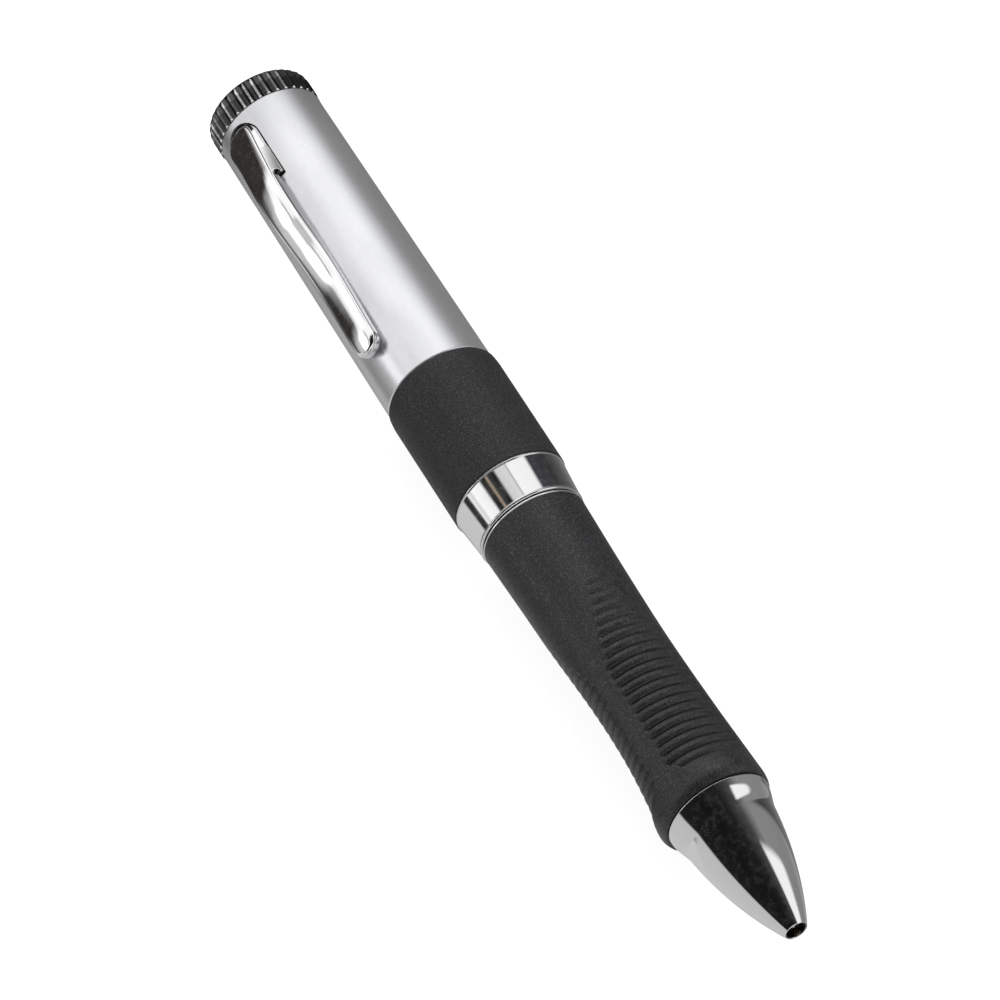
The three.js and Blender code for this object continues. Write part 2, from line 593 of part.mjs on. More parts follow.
// Holder: the neck that the cap pushes onto, with the plug's seat and a slot for the board.
function makeHolder() {
  const tailEnd = S_CORE + HOLDER_TAIL;
  const grooveHalf = SEAL_CORD + SEAM;
  const grooveAt = S_MOUTH - SEAL_SETBACK;
  const grooveFloor = CORE_RADIUS - 2 * SEAL_CORD;
  const body = revolve([
    [S_NECK, 0],
    [S_NECK, CORE_RADIUS],
    [grooveAt - grooveHalf, CORE_RADIUS],
    [grooveAt - grooveHalf, grooveFloor],
    [grooveAt + grooveHalf, grooveFloor],
    [grooveAt + grooveHalf, CORE_RADIUS],
    [S_CORE - SEAM, CORE_RADIUS],
    [S_CORE - SEAM, CORE_BORE - GLUE_GAP],
    [tailEnd, CORE_BORE - GLUE_GAP],
    [tailEnd, 0],
  ]);
  const fit = 2 * SEAM;
  const seat = roundedBar(S_NECK - 1, PLUG_SEAT + 1 + SEAM, PLUG_WIDTH + fit, PLUG_HEIGHT + fit, PLUG_CORNER, 0);
  const slotHalf = BOARD_WIDTH / 2 + GLUE_GAP;
  const slot = block([S_NECK, -slotHalf, -HOLDER_SLOT_HEIGHT / 2], [tailEnd + 1, slotHalf, HOLDER_SLOT_HEIGHT / 2]);
  place("usb_holder", cut(body, seat, slot), blackPlastic);

  const seal = new THREE.TorusGeometry(grooveFloor + SEAM + SEAL_CORD, SEAL_CORD, 6, SIDES);
  place("cap_seal_ring", seal.rotateY(Math.PI / 2).translate(grooveAt, 0, 0), sealRubber);
}

// Guide tube: fixed in the core, with two straight slots that stop the follower pin from turning.
function makeGuide() {
  const start = S_FOLLOWER - GUIDE_LEAD;
  const tube = revolve([
    [start, 0],
    [start, CORE_BORE - GLUE_GAP],
    [start + GUIDE_FLANGE, CORE_BORE - GLUE_GAP],
    [start + GUIDE_FLANGE, GUIDE_RADIUS],
    [start + GUIDE_LENGTH, GUIDE_RADIUS],
    [start + GUIDE_LENGTH, GUIDE_BORE],
    [start + GUIDE_FLANGE, GUIDE_BORE],
    [start + GUIDE_FLANGE, 0],
  ], SMALL_SIDES);
  const half = FOLLOWER_RADIUS + SLOT_SIDE_GAP;
  const slot = block([S_FOLLOWER - half, -GUIDE_RADIUS * 2, -half],
    [S_FOLLOWER + REFILL_TRAVEL + half, GUIDE_RADIUS * 2, half]);
  place("guide_tube", cut(tube, slot), machinedAluminium);
}

// Cutter for one helical slot of the cam: it follows the pin as the sleeve turns.
function helixCutter(offset) {
  const half = FOLLOWER_RADIUS + SLOT_SIDE_GAP;
  const steps = 14;
  const over = (half / CAM_RADIUS) * 1.1;
  const lead = REFILL_TRAVEL / TWIST_RANGE;
  const rings = Array.from({ length: steps + 1 }, (_, i) => {
    const turn = -over + ((TWIST_RANGE + 2 * over) * i) / steps;
    const station = S_FOLLOWER + lead * THREE.MathUtils.clamp(turn, 0, TWIST_RANGE);
    const angle = offset - turn;
    const low = GUIDE_RADIUS;
    const high = CAM_RADIUS + GLUE_GAP;
    return [[-half, high], [half, high], [half, low], [-half, low]].map(([shift, radius]) =>
      new THREE.Vector3(station + shift, radius * Math.cos(angle), radius * Math.sin(angle)));
  });
  return skin(rings, false);
}

// Cam sleeve: turns with the front half, and its helical slots drive the follower pin along.
function makeCam() {
  const start = S_FOLLOWER - CAM_LEAD;
  const flangeEnd = S_CORE_END - CORE_LIP - RUN_GAP;
  const bore = GUIDE_RADIUS + RUN_GAP;
  const sleeve = revolve([
    [start, bore],
    [start, CAM_RADIUS],
    [flangeEnd - CAM_FLANGE, CAM_RADIUS],
    [flangeEnd - CAM_FLANGE, CAM_FLANGE_RADIUS],
    [flangeEnd, CAM_FLANGE_RADIUS],
    [flangeEnd, CAM_RADIUS],
    [start + CAM_LENGTH, CAM_RADIUS],
    [start + CAM_LENGTH, bore],
  ], 28);
  place("cam_sleeve", cut(sleeve, helixCutter(0), helixCutter(Math.PI)), brass);

  const cordAt = flangeEnd - CAM_FLANGE - SEAM - FRICTION_CORD;
  const cord = new THREE.TorusGeometry(CORE_BORE - SEAM - FRICTION_CORD, FRICTION_CORD, 6, 24);
  place("friction_ring", cord.rotateY(Math.PI / 2).translate(cordAt, 0, 0), sealRubber);
}

// Refill with its carrier: the follower pin crosses the carrier and rides in both pairs of slots.
function makeRefill() {
  const carrierStart = S_FOLLOWER - CARRIER_LEAD;
  const socket = REFILL_RADIUS + SEAM;
  const carrier = revolve([
    [carrierStart, 0],
    [carrierStart, CARRIER_RADIUS],
    [carrierStart + CARRIER_LENGTH, CARRIER_RADIUS],
    [carrierStart + CARRIER_LENGTH, socket],
    [S_REFILL - SEAM, socket],
    [S_REFILL - SEAM, 0],
  ], SMALL_SIDES);
  const pinHole = crossBar(S_FOLLOWER, 0, FOLLOWER_RADIUS + SEAM, CARRIER_RADIUS * 2);
  place("refill_carrier", cut(carrier, pinHole), naturalPlastic);
  place("follower_pin", crossBar(S_FOLLOWER, 0, FOLLOWER_RADIUS, FOLLOWER_HALF), springSteel);

  const ballEnd = S_REFILL + REFILL_LENGTH;
  const tipStart = ballEnd - REFILL_TIP_LENGTH;
  place("refill_tube", revolve([
    [S_REFILL, REFILL_TUBE_BORE],
    [S_REFILL, REFILL_RADIUS],
    [tipStart - SEAM, REFILL_RADIUS],
    [tipStart - SEAM, REFILL_TUBE_BORE],
  ], SMALL_SIDES), brass);
  const coneEnd = ballEnd - BALL_RADIUS;
  place("refill_tip", revolve([
    [tipStart - REFILL_SPIGOT.length, REFILL_SPIGOT.bore],
    [tipStart - REFILL_SPIGOT.length, REFILL_SPIGOT.radius],
    [tipStart, REFILL_SPIGOT.radius],
    [tipStart, REFILL_RADIUS],
    [coneEnd - REFILL_CONE, REFILL_RADIUS],
    [coneEnd, REFILL_CONE_END],
    [coneEnd, BALL_RADIUS + SEAM / 2],
    [coneEnd - BALL_RADIUS - SEAM, BALL_RADIUS + SEAM / 2],
    [coneEnd - BALL_RADIUS - SEAM, REFILL_SPIGOT.bore / 2],
    [coneEnd - REFILL_CONE, REFILL_SPIGOT.bore],
  ], SMALL_SIDES), brass);
  place("writing_ball", new THREE.SphereGeometry(BALL_RADIUS, 12, 8).translate(coneEnd, 0, 0), springSteel);
}

// Front barrel under the grip, the thin chrome ring behind the grip and the nose's threaded bush.
function makeFrontBarrel() {
  const neckStart = S_CORE_END - CORE_LIP;
  const end = S_NOSE - SEAM;
  const sleeveEnd = S_FOLLOWER - CAM_LEAD + CAM_LENGTH + GLUE_GAP;
  const bushStart = end - BUSH_LENGTH - GLUE_GAP;
  place("front_barrel", revolve([
    [neckStart, CAM_RADIUS + GLUE_GAP],
    [neckStart, BARREL_NECK],
    [S_RING, BARREL_NECK],
    [S_RING, BARREL_RADIUS],
    [end, BARREL_RADIUS],
    [end, BUSH_RADIUS + GLUE_GAP],
    [bushStart, BUSH_RADIUS + GLUE_GAP],
    [bushStart, BARREL_BORE],
    [sleeveEnd, BARREL_BORE],
    [sleeveEnd, CAM_RADIUS + GLUE_GAP],
  ]), blackPlastic);
  place("thread_bush", revolve([
    [bushStart + GLUE_GAP, BUSH_BORE],
    [bushStart + GLUE_GAP, BUSH_RADIUS],
    [end - GLUE_GAP, BUSH_RADIUS],
    [end - GLUE_GAP, BUSH_BORE],
  ], 36), brass);
  place("grip_ring", revolve([
    [S_RING, BARREL_RADIUS + GLUE_GAP],
    [S_RING, RING_RADIUS],
    [S_RING + RING_LENGTH, RING_RADIUS],
    [S_RING + RING_LENGTH, BARREL_RADIUS + GLUE_GAP],
  ]), chrome);
}

const gripOutline = new THREE.SplineCurve([
  [0, GRIP_REAR_RADIUS],
  [GRIP_WAIST_AT * 0.5, GRIP_REAR_RADIUS * 0.32 + GRIP_WAIST_RADIUS * 0.68],
  [GRIP_WAIST_AT, GRIP_WAIST_RADIUS],
  [(GRIP_WAIST_AT + GRIP_LIP_AT) / 2, GRIP_WAIST_RADIUS * 0.66 + GRIP_LIP_RADIUS * 0.34],
  [GRIP_LIP_AT, GRIP_LIP_RADIUS],
].map(([x, y]) => new THREE.Vector2(x, y)));
const gripProfile = gripOutline.getPoints(200);

// Radius of the grip between its panels, at a distance from its rear end.
function gripPlain(distance) {
  if (distance >= GRIP_LIP_AT) {
    const share = (distance - GRIP_LIP_AT) / (GRIP_LENGTH - GRIP_LIP_AT);
    return GRIP_LIP_RADIUS - (GRIP_LIP_RADIUS - GRIP_END_RADIUS) * share * share;
  }
  const i = Math.max(gripProfile.findIndex((point) => point.x >= distance), 1);
  const [a, b] = [gripProfile[i - 1], gripProfile[i]];
  return a.y + ((b.y - a.y) * (distance - a.x)) / (b.x - a.x);
}

// Depth below the plain outline: each panel is a shallow scoop crossed by grooves, with a raised lip in front.
function gripDepth(distance, rollDegrees, groove) {
  const spacing = 360 / PANEL_COUNT;
  const turned = ((rollDegrees - GRIP_ROLL) % spacing + spacing) % spacing;
  const off = Math.min(turned, spacing - turned);
  const length = RIB_COUNT * RIB_PITCH;
  const share = (distance - PANEL_START) / length;
  if (share >= 1) {
    const rise = Math.max(0, 1 - Math.abs(distance - GRIP_LIP_AT) / (LIP_BULGE_LENGTH / 2));
    return -LIP_BULGE * Math.sin((Math.PI / 2) * rise) * Math.max(0, 1 - (off / PANEL_HALF_ANGLE) ** 2);
  }
  if (share <= 0) return 0;
  const half = PANEL_HALF_ANGLE * Math.min(1, 0.25 + 1.9 * share) * Math.min(1, 0.55 + 5 * (1 - share));
  const across = Math.max(0, 1 - (off / half) ** 2);
  const swell = Math.sin(Math.PI * share ** 1.45);
  return across * (PANEL_SCOOP * swell + (groove ? RIB_DEPTH * Math.min(1, 0.25 + 2 * share) : 0));
}

// Rubber grip: waisted sleeve with a flared lip and three ribbed finger panels.
function makeGrip() {
  const distances = [0, PANEL_START * 0.33, PANEL_START * 0.66, PANEL_START];
  for (let i = 0; i < RIB_COUNT; i += 1) {
    distances.push(PANEL_START + (i + 0.5) * RIB_PITCH, PANEL_START + (i + 1) * RIB_PITCH);
  }
  const panelEnd = PANEL_START + RIB_COUNT * RIB_PITCH;
  distances.push((panelEnd + GRIP_LIP_AT) / 2, GRIP_LIP_AT, (GRIP_LIP_AT + GRIP_LENGTH) / 2, GRIP_LENGTH);
  const ring = (distance, radiusAt) => Array.from({ length: SIDES }, (_, j) => {
    const roll = (360 / SIDES) * (j + 0.5);
    const radians = THREE.MathUtils.degToRad(roll);
    const radius = radiusAt(roll);
    return new THREE.Vector3(S_GRIP + distance, -radius * Math.sin(radians), radius * Math.cos(radians));
  });
  const isGroove = (distance) => {
    const ribs = (distance - PANEL_START) / RIB_PITCH;
    return Math.abs(ribs - Math.floor(ribs) - 0.5) < 0.01;
  };
  const outer = distances.map((distance) => ring(distance, (roll) =>
    gripPlain(distance) - gripDepth(distance, roll, isGroove(distance))));
  const bore = BARREL_RADIUS + GLUE_GAP;
  const inner = [ring(GRIP_LENGTH, () => bore), ring(0, () => bore)];
  place("rubber_grip", skin([...outer, ...inner], true), gripRubber);
}

// Nose: flange, fillet and an ogive down to the writing hole, with a hollow inside and a screwed spigot.
function makeNose() {
  const bodyStart = S_NOSE + NOSE_FLANGE + NOSE_STEP;
  const chordLength = Math.hypot(S_TIP - bodyStart, NOSE_BODY_RADIUS - NOSE_RIM_RADIUS);
  const chordAngle = Math.atan2(NOSE_RIM_RADIUS - NOSE_BODY_RADIUS, S_TIP - bodyStart);
  const halfTurn = Math.asin(chordLength / (2 * NOSE_OGIVE));
  const steps = 8;
  const ogive = Array.from({ length: steps + 1 }, (_, i) => {
    const heading = chordAngle + halfTurn - (2 * halfTurn * i) / steps;
    const first = chordAngle + halfTurn;
    return [
      bodyStart + NOSE_OGIVE * (Math.sin(first) - Math.sin(heading)),
      NOSE_BODY_RADIUS + NOSE_OGIVE * (Math.cos(heading) - Math.cos(first)),
    ];
  });
  const spigotStart = S_NOSE - NOSE_SPIGOT;
  const throatEnd = S_TIP - NOSE_BORE_LENGTH;
  place("nose_cone", revolve([
    [spigotStart, NOSE_HOLLOW],
    [spigotStart, NOSE_SPIGOT_RADIUS],
    [S_NOSE, NOSE_SPIGOT_RADIUS],
    [S_NOSE, NOSE_FLANGE_RADIUS - 0.15],
    [S_NOSE + 0.2, NOSE_FLANGE_RADIUS],
    [S_NOSE + NOSE_FLANGE, NOSE_FLANGE_RADIUS - 0.1],
    [S_NOSE + NOSE_FLANGE + NOSE_STEP * 0.35, (NOSE_FLANGE_RADIUS * 0.35 + NOSE_BODY_RADIUS * 0.65)],
    ...ogive,
    [S_TIP, NOSE_BORE],
    [throatEnd, NOSE_BORE],
    [throatEnd - NOSE_THROAT, NOSE_HOLLOW],
  ]), chrome);
}

makeFinial();
makeCapTube();
makeClip();
makeClipInsert();
makeHolder();
makePlug();
makeBoard();
makeCollarAndCore();
makeGuide();
makeCam();
makeRefill();
makeFrontBarrel();
makeGrip();
makeNose();

// The origin is the middle of the footprint, on the surface that the pen lies on.
const bounds = new THREE.Box3().setFromObject(pen);
const middle = bounds.getCenter(new THREE.Vector3());
pen.position.set(-middle.x, -middle.y, -bounds.min.z);

export default pen;
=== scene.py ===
"""Looks of a twist-action pen with a USB flash drive under its cap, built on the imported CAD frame.

The pen lies along X with its writing tip towards +X. Stations are millimetres from the flat end of
the finial. A roll angle is measured about the pen's axis, from up towards -Y.
"""
import json
import math

import bmesh
import bpy
import numpy as np
from mathutils import Matrix, Vector


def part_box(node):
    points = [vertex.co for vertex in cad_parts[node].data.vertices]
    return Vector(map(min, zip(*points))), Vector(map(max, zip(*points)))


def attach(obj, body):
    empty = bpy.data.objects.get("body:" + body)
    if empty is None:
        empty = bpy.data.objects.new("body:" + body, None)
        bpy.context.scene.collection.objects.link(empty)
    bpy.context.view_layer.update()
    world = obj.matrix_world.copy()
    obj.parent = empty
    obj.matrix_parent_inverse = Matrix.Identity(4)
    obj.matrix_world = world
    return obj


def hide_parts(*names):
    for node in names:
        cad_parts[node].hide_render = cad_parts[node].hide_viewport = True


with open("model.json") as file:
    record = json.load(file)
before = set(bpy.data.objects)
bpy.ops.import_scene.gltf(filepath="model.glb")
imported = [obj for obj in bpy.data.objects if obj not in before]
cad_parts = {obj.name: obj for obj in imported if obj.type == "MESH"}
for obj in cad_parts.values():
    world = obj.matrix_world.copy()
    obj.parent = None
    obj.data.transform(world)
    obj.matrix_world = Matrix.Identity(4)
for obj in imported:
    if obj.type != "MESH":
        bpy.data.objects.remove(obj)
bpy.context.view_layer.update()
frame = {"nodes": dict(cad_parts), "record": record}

# The pen's axis in the frame: where station 0 lies, and the axis's Y and Z. The collar is round
# about the axis, so its box gives them.
low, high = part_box("centre_collar")
axis_y = (low[1] + high[1]) * 500
axis_z = (low[2] + high[2]) * 500
axis_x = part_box("knurled_finial")[0][0] * 1000


# Camera: a long lens that looks down on the pen at 54 degrees. The vectors are the pen's axis, its
# side and its up as the camera sees them, so their matrix turns camera directions into the frame.
seen_axis = Vector((0.466, -0.714, 0.5225)).normalized()
lift = math.atan2(-seen_axis.y, seen_axis.z)
seen_up = Vector((0, math.cos(lift), math.sin(lift)))
seen_side = seen_up.cross(seen_axis)
camera_turn = Matrix((seen_axis, seen_side, seen_up))
aim_station = 70.19
aim = Vector((axis_x + aim_station, axis_y, axis_z)) / 1000
seen_aim = Vector((0.002158, -0.000616, -0.90516))
camera_data = bpy.data.cameras.new("camera")
camera_data.lens = 268.92
camera_data.sensor_width = 36
camera_data.clip_start = 0.05
camera_data.clip_end = 20
camera = bpy.data.objects.new("camera", camera_data)
camera.matrix_world = Matrix.Translation(aim - camera_turn @ seen_aim) @ camera_turn.to_4x4()
bpy.context.scene.collection.objects.link(camera)
bpy.context.scene.camera = camera
bpy.context.scene.view_settings.view_transform = "Standard"


class Value:
    """A value in a shader tree. Sums and products of it add maths nodes, and node() adds any other."""

    def __init__(self, tree, socket):
        self.tree = tree
        self.socket = socket

    def node(self, kind, inputs=None, output=0, **settings):
        made = self.tree.nodes.new("ShaderNode" + kind)
        for key, value in settings.items():
            setattr(made, key, value)
        for key, value in (inputs or {}).items():
            if isinstance(value, Value):
                self.tree.links.new(value.socket, made.inputs[key])
            else:
                made.inputs[key].default_value = value
        return Value(self.tree, made.outputs[output])

    def math(self, operation, *others):
        return self.node("Math", dict(enumerate((self, *others))), operation=operation)

    def __add__(self, other):
        return self.math("ADD", other)

    def __sub__(self, other):
        return self.math("SUBTRACT", other)

    def __mul__(self, other):
        return self.math("MULTIPLY", other)

    def step(self, start, end, low=0.0, high=1.0):
        """Rises smoothly from low to high as the value goes from start to end."""
        ends = {"From Min": start, "From Max": end, "To Min": low, "To Max": high}
        return self.node("MapRange", {"Value": self, **ends}, interpolation_type="SMOOTHSTEP")

    def blend(self, first, second):
        """Mixes two colours, with the value as the share of the second."""
        return self.node("Mix", {"Factor": self, "A": first, "B": second}, "Result", data_type="RGBA")

    def ramp(self, *stops):
        """Colour ramp: each stop is a position and a grey or a colour."""
        made = self.tree.nodes.new("ShaderNodeValToRGB")
        self.tree.links.new(self.socket, made.inputs["Fac"])
        for i, (position, colour) in enumerate(stops):
            stop = made.color_ramp.elements[i] if i < 2 else made.color_ramp.elements.new(position)
            stop.position = position
            stop.color = (*((colour,) * 3 if isinstance(colour, float) else colour), 1)
        return Value(self.tree, made.outputs["Color"])


# Surround: white to the camera. What the pen's bright metal mirrors is the studio: a light bank low on
# the left, a dark ceiling with a soft box over the pen and another on the right, and dim room behind.
# The directions are read as a turn about the pen's axis and a lean towards the cap.
world = bpy.data.worlds.new("studio")
bpy.context.scene.world = world
world.use_nodes = True
tree = world.node_tree
background = tree.nodes["Background"]
direction = Value(tree, tree.nodes.new("ShaderNodeTexCoord").outputs["Generated"])
facing = camera_turn @ Vector((0, 0, 1))
facing = Vector((0, facing.y, facing.z)).normalized()
across = facing.cross(Vector((1, 0, 0)))
dot = {"operation": "DOT_PRODUCT"}
along = direction.node("VectorMath", {0: direction, 1: (1, 0, 0)}, "Value", **dot)
towards = direction.node("VectorMath", {0: direction, 1: facing}, "Value", **dot)
sideways = direction.node("VectorMath", {0: direction, 1: across}, "Value", **dot)
turn = sideways.math("ARCTAN2", towards) * (0.5 / math.pi) + 0.5
lean = along.math("ARCSINE") * (-180 / math.pi)


def at(degrees):
    """Position of a turn on a ramp."""
    return 0.5 + degrees / 360


# Each strip of the studio is a ramp of brightness over the turn. The strips follow one another as the
# lean grows: before the tip, over the tip, over the cap, near and far, past the cap and beyond it.
past_cap = turn.ramp(
    (0.0, 0.12), (at(-125), 0.4), (at(-119), 0.1), (at(-97), 0.12), (at(-90), 0.5), (at(-64), 0.42),
    (at(-57), 1.25), (at(-20), 1.15), (at(50), 1.15), (at(68), 0.8), (at(88), 0.14), (1.0, 0.12))
far_over_cap = turn.ramp(
    (0.0, 0.08), (at(-150), 0.25), (at(-126), 0.6), (at(-118), 0.1), (at(-100), 0.12), (at(-90), 0.5),
    (at(-82), 0.58), (at(-70), 0.6), (at(-58), 0.5), (at(-46), 0.45), (at(-38), 1.1), (at(-20), 1.05),
    (at(10), 1.16), (at(50), 1.16), (at(68), 0.82), (at(90), 0.2), (at(112), 0.13), (at(150), 0.13),
    (1.0, 0.25))
beyond = turn.ramp(
    (0.0, 0.03), (at(-40), (0.035, 0.03, 0.025)), (at(-10), 0.5), (at(10), 0.95), (at(50), 0.95),
    (at(80), 0.08), (1.0, 0.05))
near_over_cap = turn.ramp(
    (0.0, 0.25), (at(-148), 0.5), (at(-115), 0.5), (at(-108), 0.1), (at(-98), 0.12), (at(-90), 0.62),
    (at(-50), 0.6), (at(-20), 0.5), (at(0), 0.85), (at(56), 1.1), (at(64), 0.1), (1.0, 0.25))
over_cap = turn.ramp(
    (0.0, 0.5), (at(-150), 0.6), (at(-90), 0.64), (at(-85), 0.03), (at(-74), 0.03), (at(-70), 1.0),
    (at(-64), 0.72), (at(-58), 1.1), (at(-38), 1.0), (at(-33), 0.02), (at(-25), 0.02),
    (at(-21), (0.42, 0.33, 0.24)), (at(-17), 0.04), (at(-5), 0.01), (at(0), 0.7), (at(18), 0.78),
    (at(20), 0.4), (at(23), 1.05), (at(57), 1.0), (at(63), (0.05, 0.045, 0.06)), (at(100), 0.04),
    (at(130), 0.1), (1.0, 0.3))
over_tip = turn.ramp(
    (0.0, 0.6), (at(-150), 0.5), (at(-140), 0.6), (at(-70), 0.56), (at(-66), 0.012), (at(-10), 0.008),
    (at(20), 0.015), (at(45), 0.06), (at(66), 0.26), (at(120), 0.24), (at(160), 0.4), (1.0, 0.6))
before_tip = turn.ramp(
    (0.0, 0.3), (at(-100), 0.45), (at(-30), 1.0), (at(30), 1.0), (at(100), 0.45), (1.0, 0.3))
box_light = turn.ramp((at(44), 0.0), (at(50), 1.0), (at(80), 1.0), (at(96), 0.0))
box_share = lean.step(7, 1).blend((0, 0, 0, 1), box_light)
tip_side = box_share.node("Mix", {"Factor": 1.0, "A": over_tip, "B": box_share}, "Result",
                          data_type="RGBA", blend_type="LIGHTEN")

# The borders over the cap bend away to the sides, and the last one runs at a slant.
aside = (turn - 0.5).math("ABSOLUTE").math("MINIMUM", 140 / 360)
edged = lean - aside * aside * (3.2 * (360 / 110) ** 2)
cap_side = edged.step(23.6, 25.2).blend(over_cap, near_over_cap)
cap_side = edged.step(25.2, 28.5).blend(cap_side, far_over_cap)
cap_side = lean.step(34, 37).blend(cap_side, past_cap)
slant = (turn - at(-66)).math("MINIMUM", 20 / 360).math("MAXIMUM", -20 / 360) * 90
cap_side = (lean - slant).step(37, 43).blend(cap_side, beyond)


def glare(degrees, wide, middle, high):
    """Square of the distance to a round light, in units of its half sizes in turn and lean."""
    off_turn = (turn - at(degrees)) * (360 / wide)
    off_lean = (lean - middle) * (1 / high)
    return off_turn * off_turn + off_lean * off_lean


spot = glare(-62, 12, 31.5, 6).step(0.35, 1.4, 1.0, 0.0)
streak = glare(-60, 8, 37.5, 6).step(0.1, 1.4, 0.75, 0.0)
cap_side = spot.blend(cap_side, (1.9, 1.9, 1.92, 1))
cap_side = streak.blend(cap_side, (1.0, 1.0, 1.02, 1))
mirrored = lean.step(17, 20).blend(tip_side, cap_side)
mirrored = lean.step(-48, -40).blend(before_tip, mirrored)
camera_ray = Value(tree, tree.nodes.new("ShaderNodeLightPath").outputs["Is Camera Ray"])
shown = camera_ray.blend(mirrored, (1, 1, 1, 1))
tree.links.new(shown.socket, background.inputs["Color"])
background.inputs["Strength"].default_value = 1.0

# Floor: a pale table top under the pen. It shows white and keeps a faint shadow of the pen. It lights
# the pen from below; what bright metal mirrors of it is part of the surround above.
floor_mesh = bpy.data.meshes.new("floor")
floor_mesh.from_pydata([(-3, -3, 0), (3, -3, 0), (3, 3, 0), (-3, 3, 0)], [], [(0, 1, 2, 3)])
floor = bpy.data.objects.new("floor", floor_mesh)
floor.location.z = -0.0002
floor.visible_glossy = False
bpy.context.scene.collection.objects.link(floor)
paper = bpy.data.materials.new("table_top")
paper.use_nodes = True
tree = paper.node_tree
tree.nodes.remove(tree.nodes["Principled BSDF"])
place = Value(tree, tree.nodes.new("ShaderNodeTexCoord").outputs["Object"])
# To all rays but the camera's the floor glows: painted light from below, with painted shade on its +Y side
# and more glow far from the pen.
shade = place.node("SeparateXYZ", {0: place}, "Y").step(-0.008, 0.012, 0.6, 0.16)
far = place.node("VectorMath", {0: place}, "Value", operation="LENGTH").step(0.15, 0.9, 0.0, 0.3)
path = tree.nodes.new("ShaderNodeLightPath")
plain = Value(tree, path.outputs["Is Camera Ray"])
glow = plain.node("Mix", {"Factor": plain, "A": shade + far, "B": 0.93}, "Result", data_type="FLOAT")
emission = tree.nodes.new("ShaderNodeEmission")
tree.links.new(glow.socket, emission.inputs["Strength"])
diffuse = tree.nodes.new("ShaderNodeBsdfDiffuse")
diffuse.inputs["Color"].default_value = (0.25, 0.25, 0.25, 1)
both = tree.nodes.new("ShaderNodeAddShader")
tree.links.new(emission.outputs[0], both.inputs[0])
tree.links.new(diffuse.outputs[0], both.inputs[1])
tree.links.new(both.outputs[0], tree.nodes["Material Output"].inputs["Surface"])
floor_mesh.materials.append(paper)

# Lamp: one large soft box over the pen, which gives the matt pieces their light.
lamp_data = bpy.data.lights.new("soft_box", "AREA")
lamp_data.shape = "RECTANGLE"
lamp_data.size = lamp_data.size_y = 0.42
lamp_data.energy = 2.3
lamp = bpy.data.objects.new("soft_box", lamp_data)
lamp_place = aim + 0.8 * (0.72 * facing + 0.47 * across - 0.6 * Vector((1, 0, 0)))
lamp.visible_glossy = False
lamp.location = lamp_place
lamp.rotation_euler = (lamp_place - aim).to_track_quat("Z", "Y").to_euler()
bpy.context.scene.collection.objects.link(lamp)


def skinned(name, points, around=True, along=True, ends=False):
    """Mesh over a grid of points, rows by columns by 3, in millimetres of the frame.

    Face (i, j) has the corners (i, j), (i, j+1), (i+1, j+1) and (i+1, j). The columns close on
    themselves if around is set and the rows if along is set, and ends adds a flat face over each
    open end. Points that coincide are welded.
    """
    rows, columns = points.shape[:2]
    i = np.arange(rows if along else rows - 1)[:, None]
    j = np.arange(columns if around else columns - 1)[None, :]
    down, right = (i + 1) % rows, (j + 1) % columns
    faces = np.stack([i * columns + j, i * columns + right, down * columns + right, down * columns + j], 2)
    faces = faces.reshape(-1, 4).tolist()
    if ends:
        faces += [list(range(columns))[::-1], list(range((rows - 1) * columns, rows * columns))]
    mesh = bpy.data.meshes.new(name)
    mesh.from_pydata((points.reshape(-1, 3) / 1000).tolist(), [], faces)
    work = bmesh.new()
    work.from_mesh(mesh)
    bmesh.ops.remove_doubles(work, verts=work.verts, dist=1e-7)
    bmesh.ops.dissolve_degenerate(work, edges=work.edges, dist=1e-7)
    work.to_mesh(mesh)
    work.free()
    mesh.shade_smooth()
    mesh.set_sharp_from_angle(angle=math.radians(38))
    piece = bpy.data.objects.new(name, mesh)
    bpy.context.scene.collection.objects.link(piece)
    return piece


def polar(station, roll, radius):
    """Frame points in millimetres: x = station, y = -r sin(roll), z = r cos(roll) about the axis."""
    station, roll, radius = np.broadcast_arrays(station, roll, radius)
    return np.stack([axis_x + station, axis_y - radius * np.sin(roll), axis_z + radius * np.cos(roll)], -1)


def rounded(*corners):
    """Profile through corners (station, radius, rounding), each corner turned by a quadratic curve.

    P(t) = (1-t)^2 A + 2t(1-t) C + t^2 B, where A and B lie at the rounding's distance from corner C. A
    point just outside A and B keeps the straight stretches straight in the shading too.
    """
    points = np.array([corner[:2] for corner in corners], float)
    reach = np.array([corner[2] if len(corner) > 2 else 0 for corner in corners], float)
    t = np.linspace(0, 1, 7)[:, None]
    guard = 0.4
    out = []
    for before, here, after, r in zip(np.roll(points, 1, 0), points, np.roll(points, -1, 0), reach):
        if r == 0:
            out.append(here[None])
            continue
        a = here + (before - here) * min(r / np.linalg.norm(before - here), 0.5)
        b = here + (after - here) * min(r / np.linalg.norm(after - here), 0.5)
        out.append(a[None] + (a - here) * guard)
        out.append((1 - t) ** 2 * a + 2 * t * (1 - t) * here + t ** 2 * b)
        out.append(b[None] + (b - here) * guard)
    line = np.concatenate(out)
    return line[np.linalg.norm(line - np.roll(line, 1, 0), axis=1) > 1e-3]


def revolved(name, profile, sides=192):
    """Turns a closed [station, radius] profile about the pen's axis. Its outside runs to the tip."""
    roll = np.arange(sides) * 2 * math.pi / sides
    return skinned(name, polar(profile[:, :1], roll[None], profile[:, 1:]))


def dressed(piece, body, slot, skin, *nodes):
    """Gives a new piece its body, its material and the CAD nodes that it stands for. Its slot is not used."""
    piece.data.materials.clear()
    piece.data.materials.append(skin)
    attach(piece, body)
    if nodes:
        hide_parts(*nodes)


